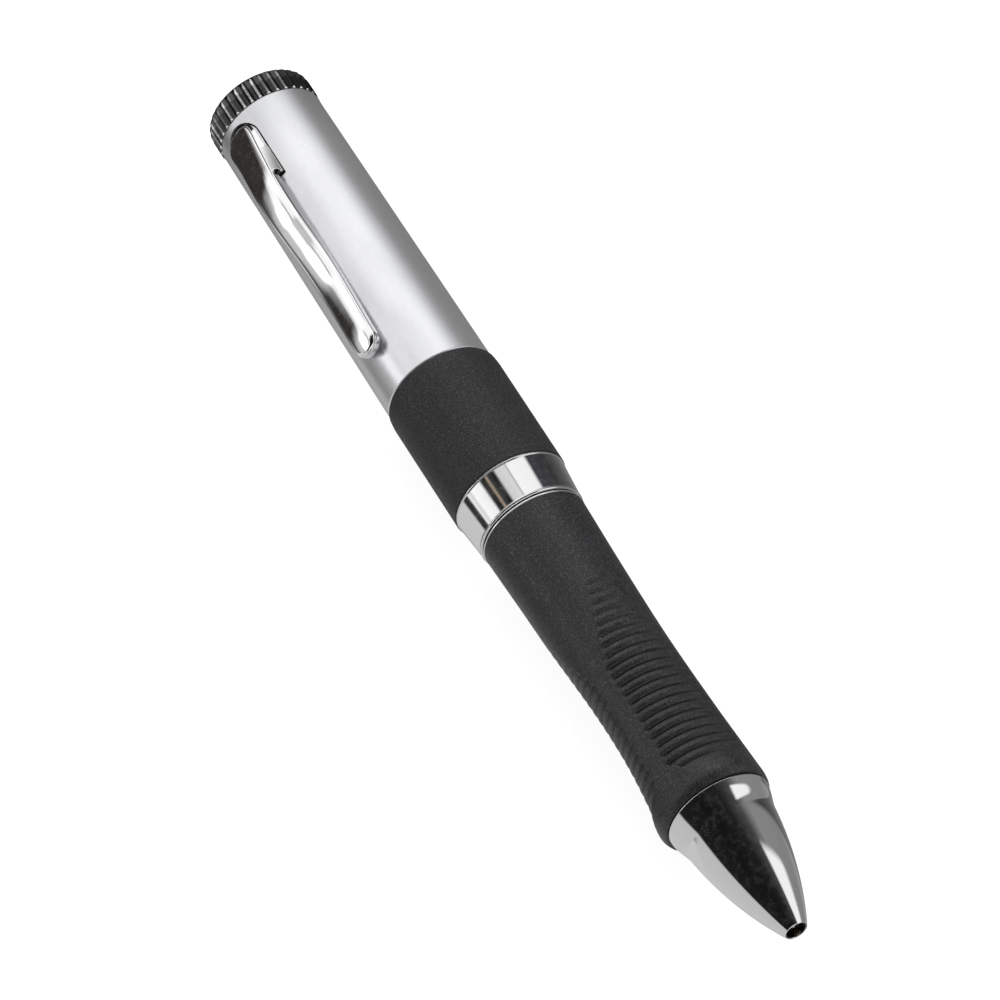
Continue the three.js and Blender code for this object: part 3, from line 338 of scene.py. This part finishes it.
def surface(name, colour, roughness, metallic=0.0, **constants):
    """New material. Returns it, its Principled node and the place on the piece in millimetres."""
    made = bpy.data.materials.new(name)
    made.use_nodes = True
    nodes = made.node_tree.nodes
    shader = nodes["Principled BSDF"]
    shader.inputs["Base Color"].default_value = (*colour, 1)
    shader.inputs["Roughness"].default_value = roughness
    shader.inputs["Metallic"].default_value = metallic
    for key, value in constants.items():
        shader.inputs[key.replace("_", " ")].default_value = value
    place = Value(made.node_tree, nodes.new("ShaderNodeTexCoord").outputs["Object"])
    return made, shader, place.node("VectorMath", {0: place, "Scale": 1000.0}, operation="SCALE")


def feed(shader, **inputs):
    """Links values to a shader's inputs."""
    for key, value in inputs.items():
        value.tree.links.new(value.socket, shader.inputs[key.replace("_", " ")])


def noise(place, scale, detail=3.0, stretch=(1, 1, 1)):
    """Noise of a given number of cells per millimetre."""
    spread = place.node("VectorMath", {0: place, 1: stretch}, operation="MULTIPLY")
    return place.node("TexNoise", {"Vector": spread, "Scale": scale, "Detail": detail}, "Fac")


def bump(height, strength, distance):
    """Bump from a height of 0 to 1, whose full depth is given in metres."""
    return height.node("Bump", {"Height": height, "Strength": strength, "Distance": distance}, "Normal")


# Cap tube: drawn aluminium, blasted and anodised to a satin silver, tapering a little to the finial.
# Its window is cut where the clip's root passes through. The mouth has a small chamfer.
tube_start = 3.89
tube_end = 50.29
tube_small = 6.96
tube_large = 7.29
tube_wall = 0.6


def tube_radius(station):
    return tube_small + (tube_large - tube_small) * (station - tube_start) / (tube_end - tube_start)


tube = revolved("cap_tube_skin", rounded(
    (tube_start, tube_small - tube_wall), (tube_start, tube_small, 0.08), (tube_end, tube_large, 0.22),
    (tube_end, tube_large - tube_wall, 0.1)), 256)
clip_start = tube_start + 1.2
root_length = 10.0
window_gap = 0.28
side_gap = 0.09
clip_roll = math.radians(54)
root_half = 2.7
arch = 2.6


def clip_frame(station, side, height):
    """Frame points in millimetres from a station, a distance to the clip's side and a height above
    the axis."""
    station, side, height = np.broadcast_arrays(station, side, height)
    y = side * math.cos(clip_roll) - height * math.sin(clip_roll)
    z = side * math.sin(clip_roll) + height * math.cos(clip_roll)
    return np.stack([axis_x + station, axis_y + y, axis_z + z], -1)


turn_round = np.radians(np.linspace(90, 270, 25))
plan_x = clip_start + arch + (arch + window_gap) * np.cos(turn_round)
plan_y = (root_half + side_gap) * np.sin(turn_round)
back = clip_start + root_length + window_gap
plan = np.concatenate([[[back, root_half + side_gap]], np.stack([plan_x, plan_y], 1),
                       [[back, -root_half - side_gap]]])
levels = np.array([3.5, 9.5])[:, None]
window = skinned("window_cutter", clip_frame(plan[None, :, 0], plan[None, :, 1], levels),
                 along=False, ends=True)
opened = tube.modifiers.new("window", "BOOLEAN")
opened.object = window
opened.solver = "EXACT"
bpy.context.view_layer.update()
cut_mesh = bpy.data.meshes.new_from_object(tube.evaluated_get(bpy.context.evaluated_depsgraph_get()))
tube.modifiers.clear()
tube.data = cut_mesh
tube.data.set_sharp_from_angle(angle=math.radians(38))
bpy.data.objects.remove(window)

satin, shader, place = surface("satin_aluminium", (0.8, 0.81, 0.83), 0.3, 0.82)
grain = noise(place, 6.5, 3.0)
drift = noise(place, 0.35, 2.0, (0.25, 1, 1))
tone = grain.step(0.25, 0.75).blend((0.86, 0.865, 0.885, 1), (0.96, 0.965, 0.98, 1))
tone = drift.step(0.3, 0.7, 0.0, 0.25).blend(tone, (0.84, 0.845, 0.86, 1))
# Painted shade: the tube's colour is darker over its first few millimetres next to the finial, fading out by
# station 13.
painted_shade_near_finial = place.node("SeparateXYZ", {"Vector": place}, "X").step(axis_x + 4, axis_x + 13, 0.75, 0.0)
feed(shader, Base_Color=painted_shade_near_finial.blend(tone, (0.74, 0.745, 0.76, 1)),
     Roughness=drift.step(0.3, 0.7, 0.28, 0.32), Normal=bump(grain, 0.25, 0.000012))
dressed(tube, "cap", "satin_aluminium", satin, "cap_tube")

# Fluted finial: turned brass under dark chrome, with straight flutes that run out over its rounded
# edge. It centres in the tube and its stud screws into the insert.
finial_length = 3.84
finial_radius = 7.1
flutes = 36
flute_depth = 0.42
spigot_end = 4.69
spigot_radius = 6.26
stud_end = 11.69
stud_radius = 2.4
profile = rounded((0, 0), (0, finial_radius, 1.1), (finial_length, finial_radius, 0.22),
                  (finial_length, spigot_radius), (spigot_end, spigot_radius, 0.15),
                  (spigot_end, stud_radius), (stud_end, stud_radius, 0.3), (stud_end, 0))
roll = np.arange(flutes * 16) * 2 * math.pi / (flutes * 16)
head = profile[:, 0] <= finial_length
straight = np.stack([np.linspace(0.6, 3.6, 9), np.full(9, finial_radius)], 1)
split = int(np.argmax((profile[:, 0] > 1.5) & head))
straight = straight[straight[:, 0] > profile[split - 1, 0] + 0.1]
profile = np.concatenate([profile[:split], straight, profile[split:]])
floor_radius = finial_radius - flute_depth * (0.5 + 0.5 * np.cos(flutes * (roll - math.pi / flutes))) ** 0.8
fluted = np.minimum(profile[:, 1:], floor_radius[None])
radius = np.where(profile[:, :1] <= finial_length, fluted, profile[:, 1:])
finial = skinned("finial_skin", polar(profile[:, :1], roll[None], radius))
dark_chrome, shader, place = surface("dark_chrome", (0.3, 0.3, 0.31), 0.1, 1.0)
smear = noise(place, 0.9, 3.0)
dust = noise(place, 9.0, 2.0)
from_axis = place.node("VectorMath", {0: place, 1: (0, -axis_y, -axis_z)}, operation="ADD")
from_axis = from_axis.node("VectorMath", {0: from_axis, 1: (0, 1, 1)}, operation="MULTIPLY")
from_axis = from_axis.node("VectorMath", {0: from_axis}, "Value", operation="LENGTH")
# Painted light on the finial: the crests carry painted highlight streaks and a painted bright line next to
# the rim. The grooves are painted dark as shade, a little lighter on the -Y side as a painted reflection, and
# the +Y half is painted dark as shade. The flat end face keeps a plain dark chrome tone.
crest = from_axis.step(finial_radius - 0.2, finial_radius - 0.05)
streak_highlight_noise = noise(place, 0.75, 1.0, (0.12, 1, 1))
crest_painted_light_and_shade = streak_highlight_noise.step(0.36, 0.62).blend((0.2, 0.2, 0.205, 1), (0.68, 0.68, 0.685, 1))
shaded = place.node("SeparateXYZ", {"Vector": place}, "Y").step(axis_y + 1.2, axis_y + 3.6)
crest_painted_light_and_shade = shaded.blend(crest_painted_light_and_shade, (0.035, 0.034, 0.033, 1))
station = place.node("SeparateXYZ", {"Vector": place}, "X") - axis_x
end_face = station.step(0.1, 0.25)
painted_rim_highlight = station.step(finial_length - 0.32, finial_length - 0.24)
crest_painted_light_and_shade = painted_rim_highlight.blend(crest_painted_light_and_shade, (0.9, 0.9, 0.91, 1))
groove_painted_shade = shaded.blend((0.08, 0.08, 0.083, 1), (0.028, 0.028, 0.028, 1))
groove_painted_shade = end_face.blend((0.3, 0.3, 0.305, 1), groove_painted_shade)
feed(shader, Roughness=smear.step(0.3, 0.7, 0.06, 0.14) + dust.step(0.66, 0.74, 0.0, 0.2),
     Base_Color=crest.blend(groove_painted_shade, crest_painted_light_and_shade),
     Normal=bump(smear, 0.2, 0.00002))
dressed(finial, "cap", "chrome", dark_chrome, "knurled_finial")

# Pocket clip: one pressed steel sheet, chromed. The crown is arched, the edges turn down, and the
# cheeks at the root pass through the window to the cross pin. A round notch ends each cheek.
clip_length = 39.5
sheet = 0.5
crown = 0.45
nose_length = 1.9


def clip_half(distance, wide):
    """Half width: w + (tip - shoulder) x / L, narrowed by a quarter ellipse at the root and by the
    quarter of |v|^2.4 + |q|^2.4 = 1 at the free end."""
    half = wide + (1.95 - 2.3) * distance / clip_length
    near = np.clip(1 - distance / arch, 0, 1)
    far = np.clip(1 - (clip_length - distance) / nose_length, 0, 1)
    return half * np.maximum(np.sqrt(1 - near ** 2), 0.06) * np.maximum((1 - far ** 2.4) ** (1 / 2.4), 0.04)


def spline(knots, values, x):
    """Cubic through the knots with the slopes of a Catmull-Rom curve: Hermite form on each span."""
    knots, values = np.asarray(knots, float), np.asarray(values, float)
    slope = np.gradient(values, knots)
    i = np.clip(np.searchsorted(knots, x) - 1, 0, len(knots) - 2)
    h = knots[i + 1] - knots[i]
    t = (x - knots[i]) / h
    return ((2 * t ** 3 - 3 * t ** 2 + 1) * values[i] + (t ** 3 - 2 * t ** 2 + t) * h * slope[i]
            + (-2 * t ** 3 + 3 * t ** 2) * values[i + 1] + (t ** 3 - t ** 2) * h * slope[i + 1])


slope_at = [0, 0.5, 1, 2, 4, 8.6, 10.2, 11.8, 14.2, 16.2, 17.8, 21.5, 24.6, 26.6, 29, 35, 37.4, 39.5]
slopes = [0.72, 0.47, 0.23, 0.13, 0.12, 0.108, 0.075, 0.025, 0.005, -0.03, -0.085, -0.08, -0.02, 0, 0.04,
          0.068, 0.005, -0.015]
ends = np.concatenate([0.066 * (1 - np.cos(np.linspace(0, math.pi / 2, 14))),
                       1 - 0.048 * (1 - np.cos(np.linspace(0, math.pi / 2, 18)))])
root = root_length / clip_length
nook = sheet / clip_length
share = np.sort(np.concatenate([np.linspace(0.067, 0.951, 170), ends, [root - 0.0003, root + 0.0003],
                                [nook, nook + 1e-5, 1 - nook - 1e-5, 1 - nook]]))
x = share * clip_length
run = np.linspace(0, clip_length, 4000)
climb = np.cumsum(np.interp(run, slope_at, slopes)) * (run[1] - run[0]) - 0.35
edge = tube_radius(clip_start + x) + np.interp(x, run, climb)
in_root = x < root_length
under = (x > sheet + 2e-4) & (x < clip_length - sheet - 2e-4)
wall_depth = np.interp(x, [10, 12, 19, 27], [0.95, 1.25, 1.2, 0.8])
lowest = np.where(in_root, 3.3, edge - wall_depth)
angle = np.linspace(0, math.pi, 49)
v = np.sign(np.cos(angle)) * np.abs(np.cos(angle)) ** (2 / 2.4)
near = np.clip(1 - x / arch, 0, 1)
end_drop = np.clip(1 - (clip_length - x) / 0.35, 0, 1)
swelling = (np.sqrt(1 - end_drop ** 2) * np.sqrt(1 - near ** 2))[:, None]
top = np.sin(angle)[None] * (crown + 0.07) * swelling
rim_in = np.array([0, 0.02, 0.06, 0.11, 0.19])
rim_up = np.array([0, 0.07, 0.105, 0.12, 0.12])


def clip_section(inset, floor):
    """Half sections of the clip drawn in by inset: a wall, a narrow rim, the crown and the other side.
    The crown is the upper half of (v/a)^2.4 + (z/b)^2 = 1, set just inside the rim."""
    half = np.maximum(clip_half(x, 2.3) - inset, 0.05)
    broad = np.where(in_root, np.maximum(clip_half(x, root_half) - inset, 0.06), half)
    on_tube = np.minimum(tube_radius(clip_start + x) + 0.1, edge - 0.25)
    middle = np.maximum(np.where(in_root, on_tube, edge - 0.48) - inset, floor)
    narrow = np.minimum(1, half / 0.9)[:, None]
    shelf = half[:, None] - rim_in * narrow
    base = edge[:, None] - 0.15 - inset
    ledge = np.maximum(base + rim_up * swelling, floor[:, None])
    crown_line = np.maximum(base + 0.08 * swelling + top, floor[:, None])
    wall = broad[:, None]
    crown_half = half[:, None] - 0.2 * narrow
    side = np.concatenate([wall, wall, shelf, crown_half * v, -shelf[:, ::-1], -wall, -wall], 1)
    return side, np.concatenate([floor[:, None], middle[:, None], ledge, crown_line, ledge[:, ::-1],
                                 middle[:, None], floor[:, None]], 1)


side, height = clip_section(0.0, lowest)
side_in, height_in = clip_section(sheet, lowest)
height_in = np.where(under[:, None], height_in, lowest[:, None])
side = np.concatenate([side, side_in[:, ::-1]], 1)
height = np.concatenate([height, height_in[:, ::-1]], 1)
clip = skinned("clip_skin", clip_frame(clip_start + x[:, None], side, height), along=False, ends=True)
notch_radius = 0.42
notch_x = clip_start + root_length - 0.12
notch_angle = np.radians(np.arange(0, 360, 10))[None]
notch_z = float(tube_radius(notch_x)) + 0.5 + notch_radius * np.sin(notch_angle)
notch = clip_frame(notch_x + notch_radius * np.cos(notch_angle), np.array([[4.0], [-4.0]]), notch_z)
notch = skinned("clip_notch", notch, along=False, ends=True)
cut = clip.modifiers.new("cut", "BOOLEAN")
cut.operation = "DIFFERENCE"
cut.object = notch
cut.solver = "EXACT"
bpy.context.view_layer.update()
cut_mesh = bpy.data.meshes.new_from_object(clip.evaluated_get(bpy.context.evaluated_depsgraph_get()))
clip.modifiers.clear()
clip.data = cut_mesh
clip.data.set_sharp_from_angle(angle=math.radians(40))
bpy.data.objects.remove(notch)
chrome, shader, place = surface("chrome", (0.86, 0.86, 0.87), 0.05, 1.0)
smear = noise(place, 0.5, 4.0)
dust = noise(place, 7.0, 2.0)
film = noise(place, 1.3, 4.0)

# The walls beside the crown are a little less polished than the crown, and their colour is painted dark as
# painted shade: the shaded tube below that they mirror.
station = place.node("SeparateXYZ", {"Vector": place}, "X") - axis_x - clip_start
to_side = (0, math.cos(clip_roll), math.sin(clip_roll))
side = place.node("VectorMath", {0: place, 1: to_side}, "Value", **dot)
side = side - (axis_y * to_side[1] + axis_z * to_side[2])
beside = side.math("ABSOLUTE") + station * (0.35 / clip_length)
painted_shade_rough_wall = beside.step(2.27, 2.29) * station.step(root_length - 0.3, root_length) * station.step(12, 39, 0.8, 0.0)
feed(shader, Base_Color=painted_shade_rough_wall.blend((0.86, 0.86, 0.87, 1), (0.24, 0.24, 0.25, 1)),
     Roughness=smear.step(0.35, 0.7, 0.035, 0.085) + dust.step(0.68, 0.75, 0.0, 0.25) + painted_shade_rough_wall * 0.15,
     Metallic=film.step(0.42, 0.75, 1.0, 0.965), Normal=bump(smear, 0.12, 0.00002))
dressed(clip, "clip", "chrome", chrome, "pocket_clip")

# Centre collar: a turned sleeve with a matt soft-touch coat that holds fine sparkling specks. The
# edge on the cap's side is softly rounded.
collar_radius = 7.6
collar = revolved("collar_skin", rounded(
    (50.39, 6.6), (50.39, 7.28, 0.05), (50.55, 7.46, 0.14), (51.6, collar_radius, 0.6),
    (68.33, collar_radius, 0.12), (68.33, 6.6)), 256)
soft, shader, place = surface("soft_touch", (0.034, 0.034, 0.036), 0.52, Specular_IOR_Level=0.36)
speck = noise(place, 6.5, 1.5)
cloud = noise(place, 1.2, 3.0)
feed(shader, Base_Color=speck.step(0.46, 0.76).blend((0.026, 0.026, 0.028, 1), (0.095, 0.095, 0.1, 1)),
     Roughness=cloud.step(0.3, 0.7, 0.48, 0.56) - speck.step(0.64, 0.74, 0.0, 0.22),
     Normal=bump(speck, 0.5, 0.00002))
dressed(collar, "middle", "soft_touch", soft, "centre_collar")

# Trim band: a chromed cone between the collar and the part that twists, with a fine rolled bead at
# each edge.
band = revolved("band_skin", rounded(
    (68.38, 6.6), (68.38, 7.5, 0.12), (68.62, 7.5, 0.1), (68.7, 7.42, 0.05), (73.72, 7.0, 0.05),
    (73.8, 7.06, 0.08), (74.02, 7.04, 0.1), (74.14, 6.9, 0.08), (74.14, 6.6)), 256)
dressed(band, "middle", "chrome", chrome, "trim_band")

# Grip ring: a thin chromed washer that turns with the grip.
ring = revolved("ring_skin", rounded(
    (74.34, 5.2), (74.34, 6.93, 0.09), (74.59, 6.93, 0.09), (74.59, 5.2)), 256)
dressed(ring, "front", "chrome", chrome, "grip_ring")

# Rubber grip: a moulded waisted sleeve, stretched over the barrel. Three finger panels are scooped
# out of it, each crossed by rounded ribs, and its lip rises in front of each panel.
grip_start = 74.64
grip_length = 46.0
grip_bore = 5.2
rear_radius = 6.87
waist_radius = 6.4
lip_radius = 7.06
end_radius = 6.8
waist_at = 22.5
lip_at = 44.8
panel_start = 14.0
rib_pitch = 1.4
ribs = 21
panel_length = ribs * rib_pitch
panel_half = 50
panel_turn = 360 / 3
panel_roll = -6
distance = np.unique(np.concatenate([
    np.linspace(0, panel_start, 20), np.arange(ribs * 12 + 1) * rib_pitch / 12 + panel_start,
    np.linspace(panel_start + panel_length, grip_length, 26)]))
plain = spline([0, waist_at * 0.5, waist_at, (waist_at + lip_at) / 2, lip_at],
               [rear_radius, rear_radius * 0.32 + waist_radius * 0.68, waist_radius,
                waist_radius * 0.66 + lip_radius * 0.34, lip_radius], np.minimum(distance, lip_at))
after_lip = np.clip((distance - lip_at) / (grip_length - lip_at), 0, 1)
plain = plain - (lip_radius - end_radius) * after_lip ** 2
roll = np.arange(360) * 2 * math.pi / 360
off = (np.degrees(roll)[None] - panel_roll + panel_turn / 2) % panel_turn - panel_turn / 2
share = np.clip((distance - panel_start) / panel_length, 0, 1)[:, None]
reach = panel_half * np.minimum(1, 0.25 + 1.9 * share) * np.minimum(1, 0.55 + 5 * (1 - share))
across_panel = np.clip(1 - (off / reach) ** 2, 0, 1)
swell = np.sin(math.pi * share ** 1.45)
inside = (share > 0) & (share < 1)
upper = np.clip((reach * 0.9 - off) / 6, 0, 1)
lower = np.clip((off + reach * 1.16) / 5, 0, 1)
middle_deep = np.clip((off + reach * 0.8) / (reach * 0.4), 0, 1)
ribbed = np.where(inside, upper ** 2 * (3 - 2 * upper) * lower ** 2 * (3 - 2 * lower)
                  * (0.5 + 0.5 * middle_deep ** 2 * (3 - 2 * middle_deep)), 0)
rib = 1 - np.abs(np.sin(math.pi * (distance - panel_start) / rib_pitch))[:, None] ** 0.55
relief = 0.42 * np.minimum(1, 0.25 + 2 * share) * np.minimum(1, 14 * (1 - share))
rise = np.clip(1 - np.abs(distance - lip_at) / 3, 0, 1)[:, None]
lip = 0.36 * np.sin(math.pi / 2 * rise) * np.clip(1 - (off / panel_half) ** 2, 0, 1)
radius = plain[:, None] - np.where(inside, across_panel * 0.58 * swell, 0) - ribbed * rib * relief + lip
bore = np.full((1, 360), grip_bore)
rows = np.concatenate([radius, bore, bore])
stations = np.concatenate([distance, [grip_length, 0]])[:, None] + grip_start
grip = skinned("grip_skin", polar(stations, roll[None], rows))
rubber, shader, place = surface("grip_rubber", (0.03, 0.03, 0.033), 0.42, Specular_IOR_Level=0.45)
speck = noise(place, 5.0, 1.5)
cloud = noise(place, 0.8, 3.0)
lint = noise(place, 2.6, 1.0, (1, 2.5, 1))
tone = cloud.step(0.3, 0.7).blend((0.02, 0.02, 0.022, 1), (0.03, 0.03, 0.033, 1))
tone = speck.step(0.47, 0.72).blend(tone, (0.08, 0.08, 0.085, 1))
feed(shader, Base_Color=lint.step(0.76, 0.8).blend(tone, (0.14, 0.14, 0.14, 1)),
     Roughness=cloud.step(0.3, 0.7, 0.36, 0.46) - speck.step(0.58, 0.74, 0.0, 0.2),
     Normal=bump(speck, 0.8, 0.00004))
dressed(grip, "front", "grip_rubber", rubber, "rubber_grip")

# Nose: turned brass under bright chrome: a flange, a fillet and an ogive down to the writing hole.
# The fillet is a cubic that leaves the flange's cone and joins the ogive with their slopes; the
# hollow inside takes the refill.
nose_start = 120.69
tip = nose_start + 18.85
body_start = nose_start + 2.3
body_radius = 6.0
tip_radius = 1.48
bow = 48
hole = 1.3
hollow = 2.4
socket = 3.6
flange_radius = 6.57
chord = math.hypot(tip - body_start, body_radius - tip_radius)
chord_angle = math.atan2(tip_radius - body_radius, tip - body_start)
half_turn = math.asin(chord / (2 * bow))
heading = np.linspace(chord_angle + half_turn, chord_angle - half_turn, 60)
ogive = np.stack([body_start + bow * (math.sin(heading[0]) - np.sin(heading)),
                  body_radius + bow * (np.cos(heading) - math.cos(heading[0]))], 1)
ogive = ogive[ogive[:, 0] > nose_start + 3.2]
flange_end = nose_start + 0.9
flange = rounded((nose_start, socket), (nose_start, 6.6, 0.04), (nose_start + 0.14, 6.74, 0.1),
                 (flange_end, flange_radius), (nose_start + 1.2, body_radius))
span = ogive[0, 0] - flange_end
fall = (ogive[1, 1] - ogive[0, 1]) / (ogive[1, 0] - ogive[0, 0])
t = np.linspace(0, 1, 18)
fillet_radius = ((2 * t ** 3 - 3 * t ** 2 + 1) * flange_radius - (t ** 3 - 2 * t ** 2 + t) * span * 0.2
                 + (3 * t ** 2 - 2 * t ** 3) * ogive[0, 1] + (t ** 3 - t ** 2) * span * fall)
fillet = np.stack([flange_end + span * t, fillet_radius], 1)
rim = rounded((tip - 0.3, 1.6), (tip, 1.46, 0.14), (tip, hole, 0.1), (tip - 0.5, hole))[1:-1]
inner = np.array([[tip - 4, hole], [tip - 9.5, hollow], [nose_start - 9, hollow], [nose_start - 9, socket]])
nose = revolved("nose_skin", np.concatenate([flange[:-1], fillet[1:], ogive[1:-2], rim, inner]), 256)
dressed(nose, "front", "chrome", chrome, "nose_cone")

# Black plastic: the holder's neck, the clip's insert and the front barrel, moulded with a fine grain.
black, shader, place = surface("black_plastic", (0.02, 0.02, 0.022), 0.45)
grain = noise(place, 6.0, 4.0)
feed(shader, Roughness=grain.step(0.3, 0.7, 0.38, 0.54), Normal=bump(grain, 0.3, 0.00002))

# Natural plastic: the plug's tongue and the refill's carrier, undyed and slightly cloudy.
natural, shader, place = surface("natural_plastic", (0.8, 0.77, 0.68), 0.4)
grain = noise(place, 1.5, 3.0)
feed(shader, Base_Color=grain.step(0.3, 0.7).blend((0.76, 0.72, 0.62, 1), (0.83, 0.8, 0.72, 1)),
     Roughness=grain.step(0.3, 0.7, 0.34, 0.46))

# Turned aluminium: the core and the guide tube, with the fine rings that a lathe leaves.
turned, shader, place = surface("machined_aluminium", (0.68, 0.69, 0.7), 0.3, 1.0)
rings = noise(place, 5.0, 3.0, (3, 0.02, 0.02))
feed(shader, Roughness=rings.step(0.3, 0.7, 0.24, 0.38), Normal=bump(rings, 0.4, 0.00001))

# Brass: the cam sleeve, the bush and the refill, turned and a little tarnished.
brass, shader, place = surface("brass", (0.75, 0.57, 0.26), 0.28, 1.0)
stain = noise(place, 0.8, 4.0)
feed(shader, Base_Color=stain.step(0.4, 0.75).blend((0.76, 0.58, 0.27, 1), (0.5, 0.36, 0.17, 1)),
     Roughness=stain.step(0.3, 0.7, 0.22, 0.4))

# Ground steel: the pins and the writing ball.
steel, shader, place = surface("spring_steel", (0.56, 0.57, 0.58), 0.25, 1.0)
scratch = noise(place, 4.0, 3.0, (1, 0.1, 1))
feed(shader, Roughness=scratch.step(0.3, 0.7, 0.2, 0.36), Normal=bump(scratch, 0.3, 0.00001))

# Nickel-plated steel: the plug's folded shell and the crystal's can, with wear from plugging in.
nickel, shader, place = surface("plug_steel", (0.7, 0.71, 0.72), 0.22, 1.0)
scratch = noise(place, 3.0, 4.0, (0.08, 1, 1))
feed(shader, Roughness=scratch.step(0.45, 0.7, 0.17, 0.36), Normal=bump(scratch, 0.25, 0.00001),
     Base_Color=scratch.step(0.5, 0.7).blend((0.7, 0.71, 0.72, 1), (0.6, 0.6, 0.6, 1)))

# Gold flash: the plug's four contacts.
gold, shader, place = surface("gold", (0.83, 0.62, 0.25), 0.2, 1.0)
rub = noise(place, 3.0, 3.0, (0.1, 1, 1))
feed(shader, Roughness=rub.step(0.3, 0.7, 0.14, 0.34))

# Circuit board: green solder mask over a faint pattern of tracks, and black moulded chips.
board, shader, place = surface("circuit_board", (0.03, 0.14, 0.07), 0.35)
tracks = {"Scale": 1.0, "Mortar Size": 0.06, "Mortar": (1, 1, 1, 1)}
tracks.update(Color1=(0.0, 0.0, 0.0, 1), Color2=(0.0, 0.0, 0.0, 1))
track = place.node("TexBrick", {"Vector": place, **tracks}, "Color")
feed(shader, Base_Color=track.blend((0.02, 0.12, 0.055, 1), (0.05, 0.2, 0.09, 1)))
epoxy, shader, place = surface("chip_epoxy", (0.015, 0.015, 0.017), 0.5)
grain = noise(place, 8.0, 3.0)
feed(shader, Roughness=grain.step(0.3, 0.7, 0.42, 0.6), Normal=bump(grain, 0.3, 0.00001))

# Seal rubber: the ring that grips the cap and the ring that steadies the twist.
seal, shader, place = surface("seal_rubber", (0.012, 0.012, 0.012), 0.6)
bloom = noise(place, 1.0, 3.0)
feed(shader, Roughness=bloom.step(0.3, 0.7, 0.5, 0.7))

# The CAD's own solids keep their shapes. Each one takes the material of its slot.
finishes = {"satin_aluminium": satin, "chrome": chrome, "soft_touch": soft, "grip_rubber": rubber,
            "black_plastic": black, "natural_plastic": natural, "machined_aluminium": turned, "brass": brass,
            "spring_steel": steel, "plug_steel": nickel, "gold": gold, "circuit_board": board,
            "chip_epoxy": epoxy, "seal_rubber": seal}
for part in frame["record"]["subparts"]:
    mesh = frame["nodes"][part["node"]].data
    if not mesh.materials:
        mesh.materials.append(None)
    for i in range(len(mesh.materials)):
        mesh.materials[i] = finishes[part["material_slot"]]
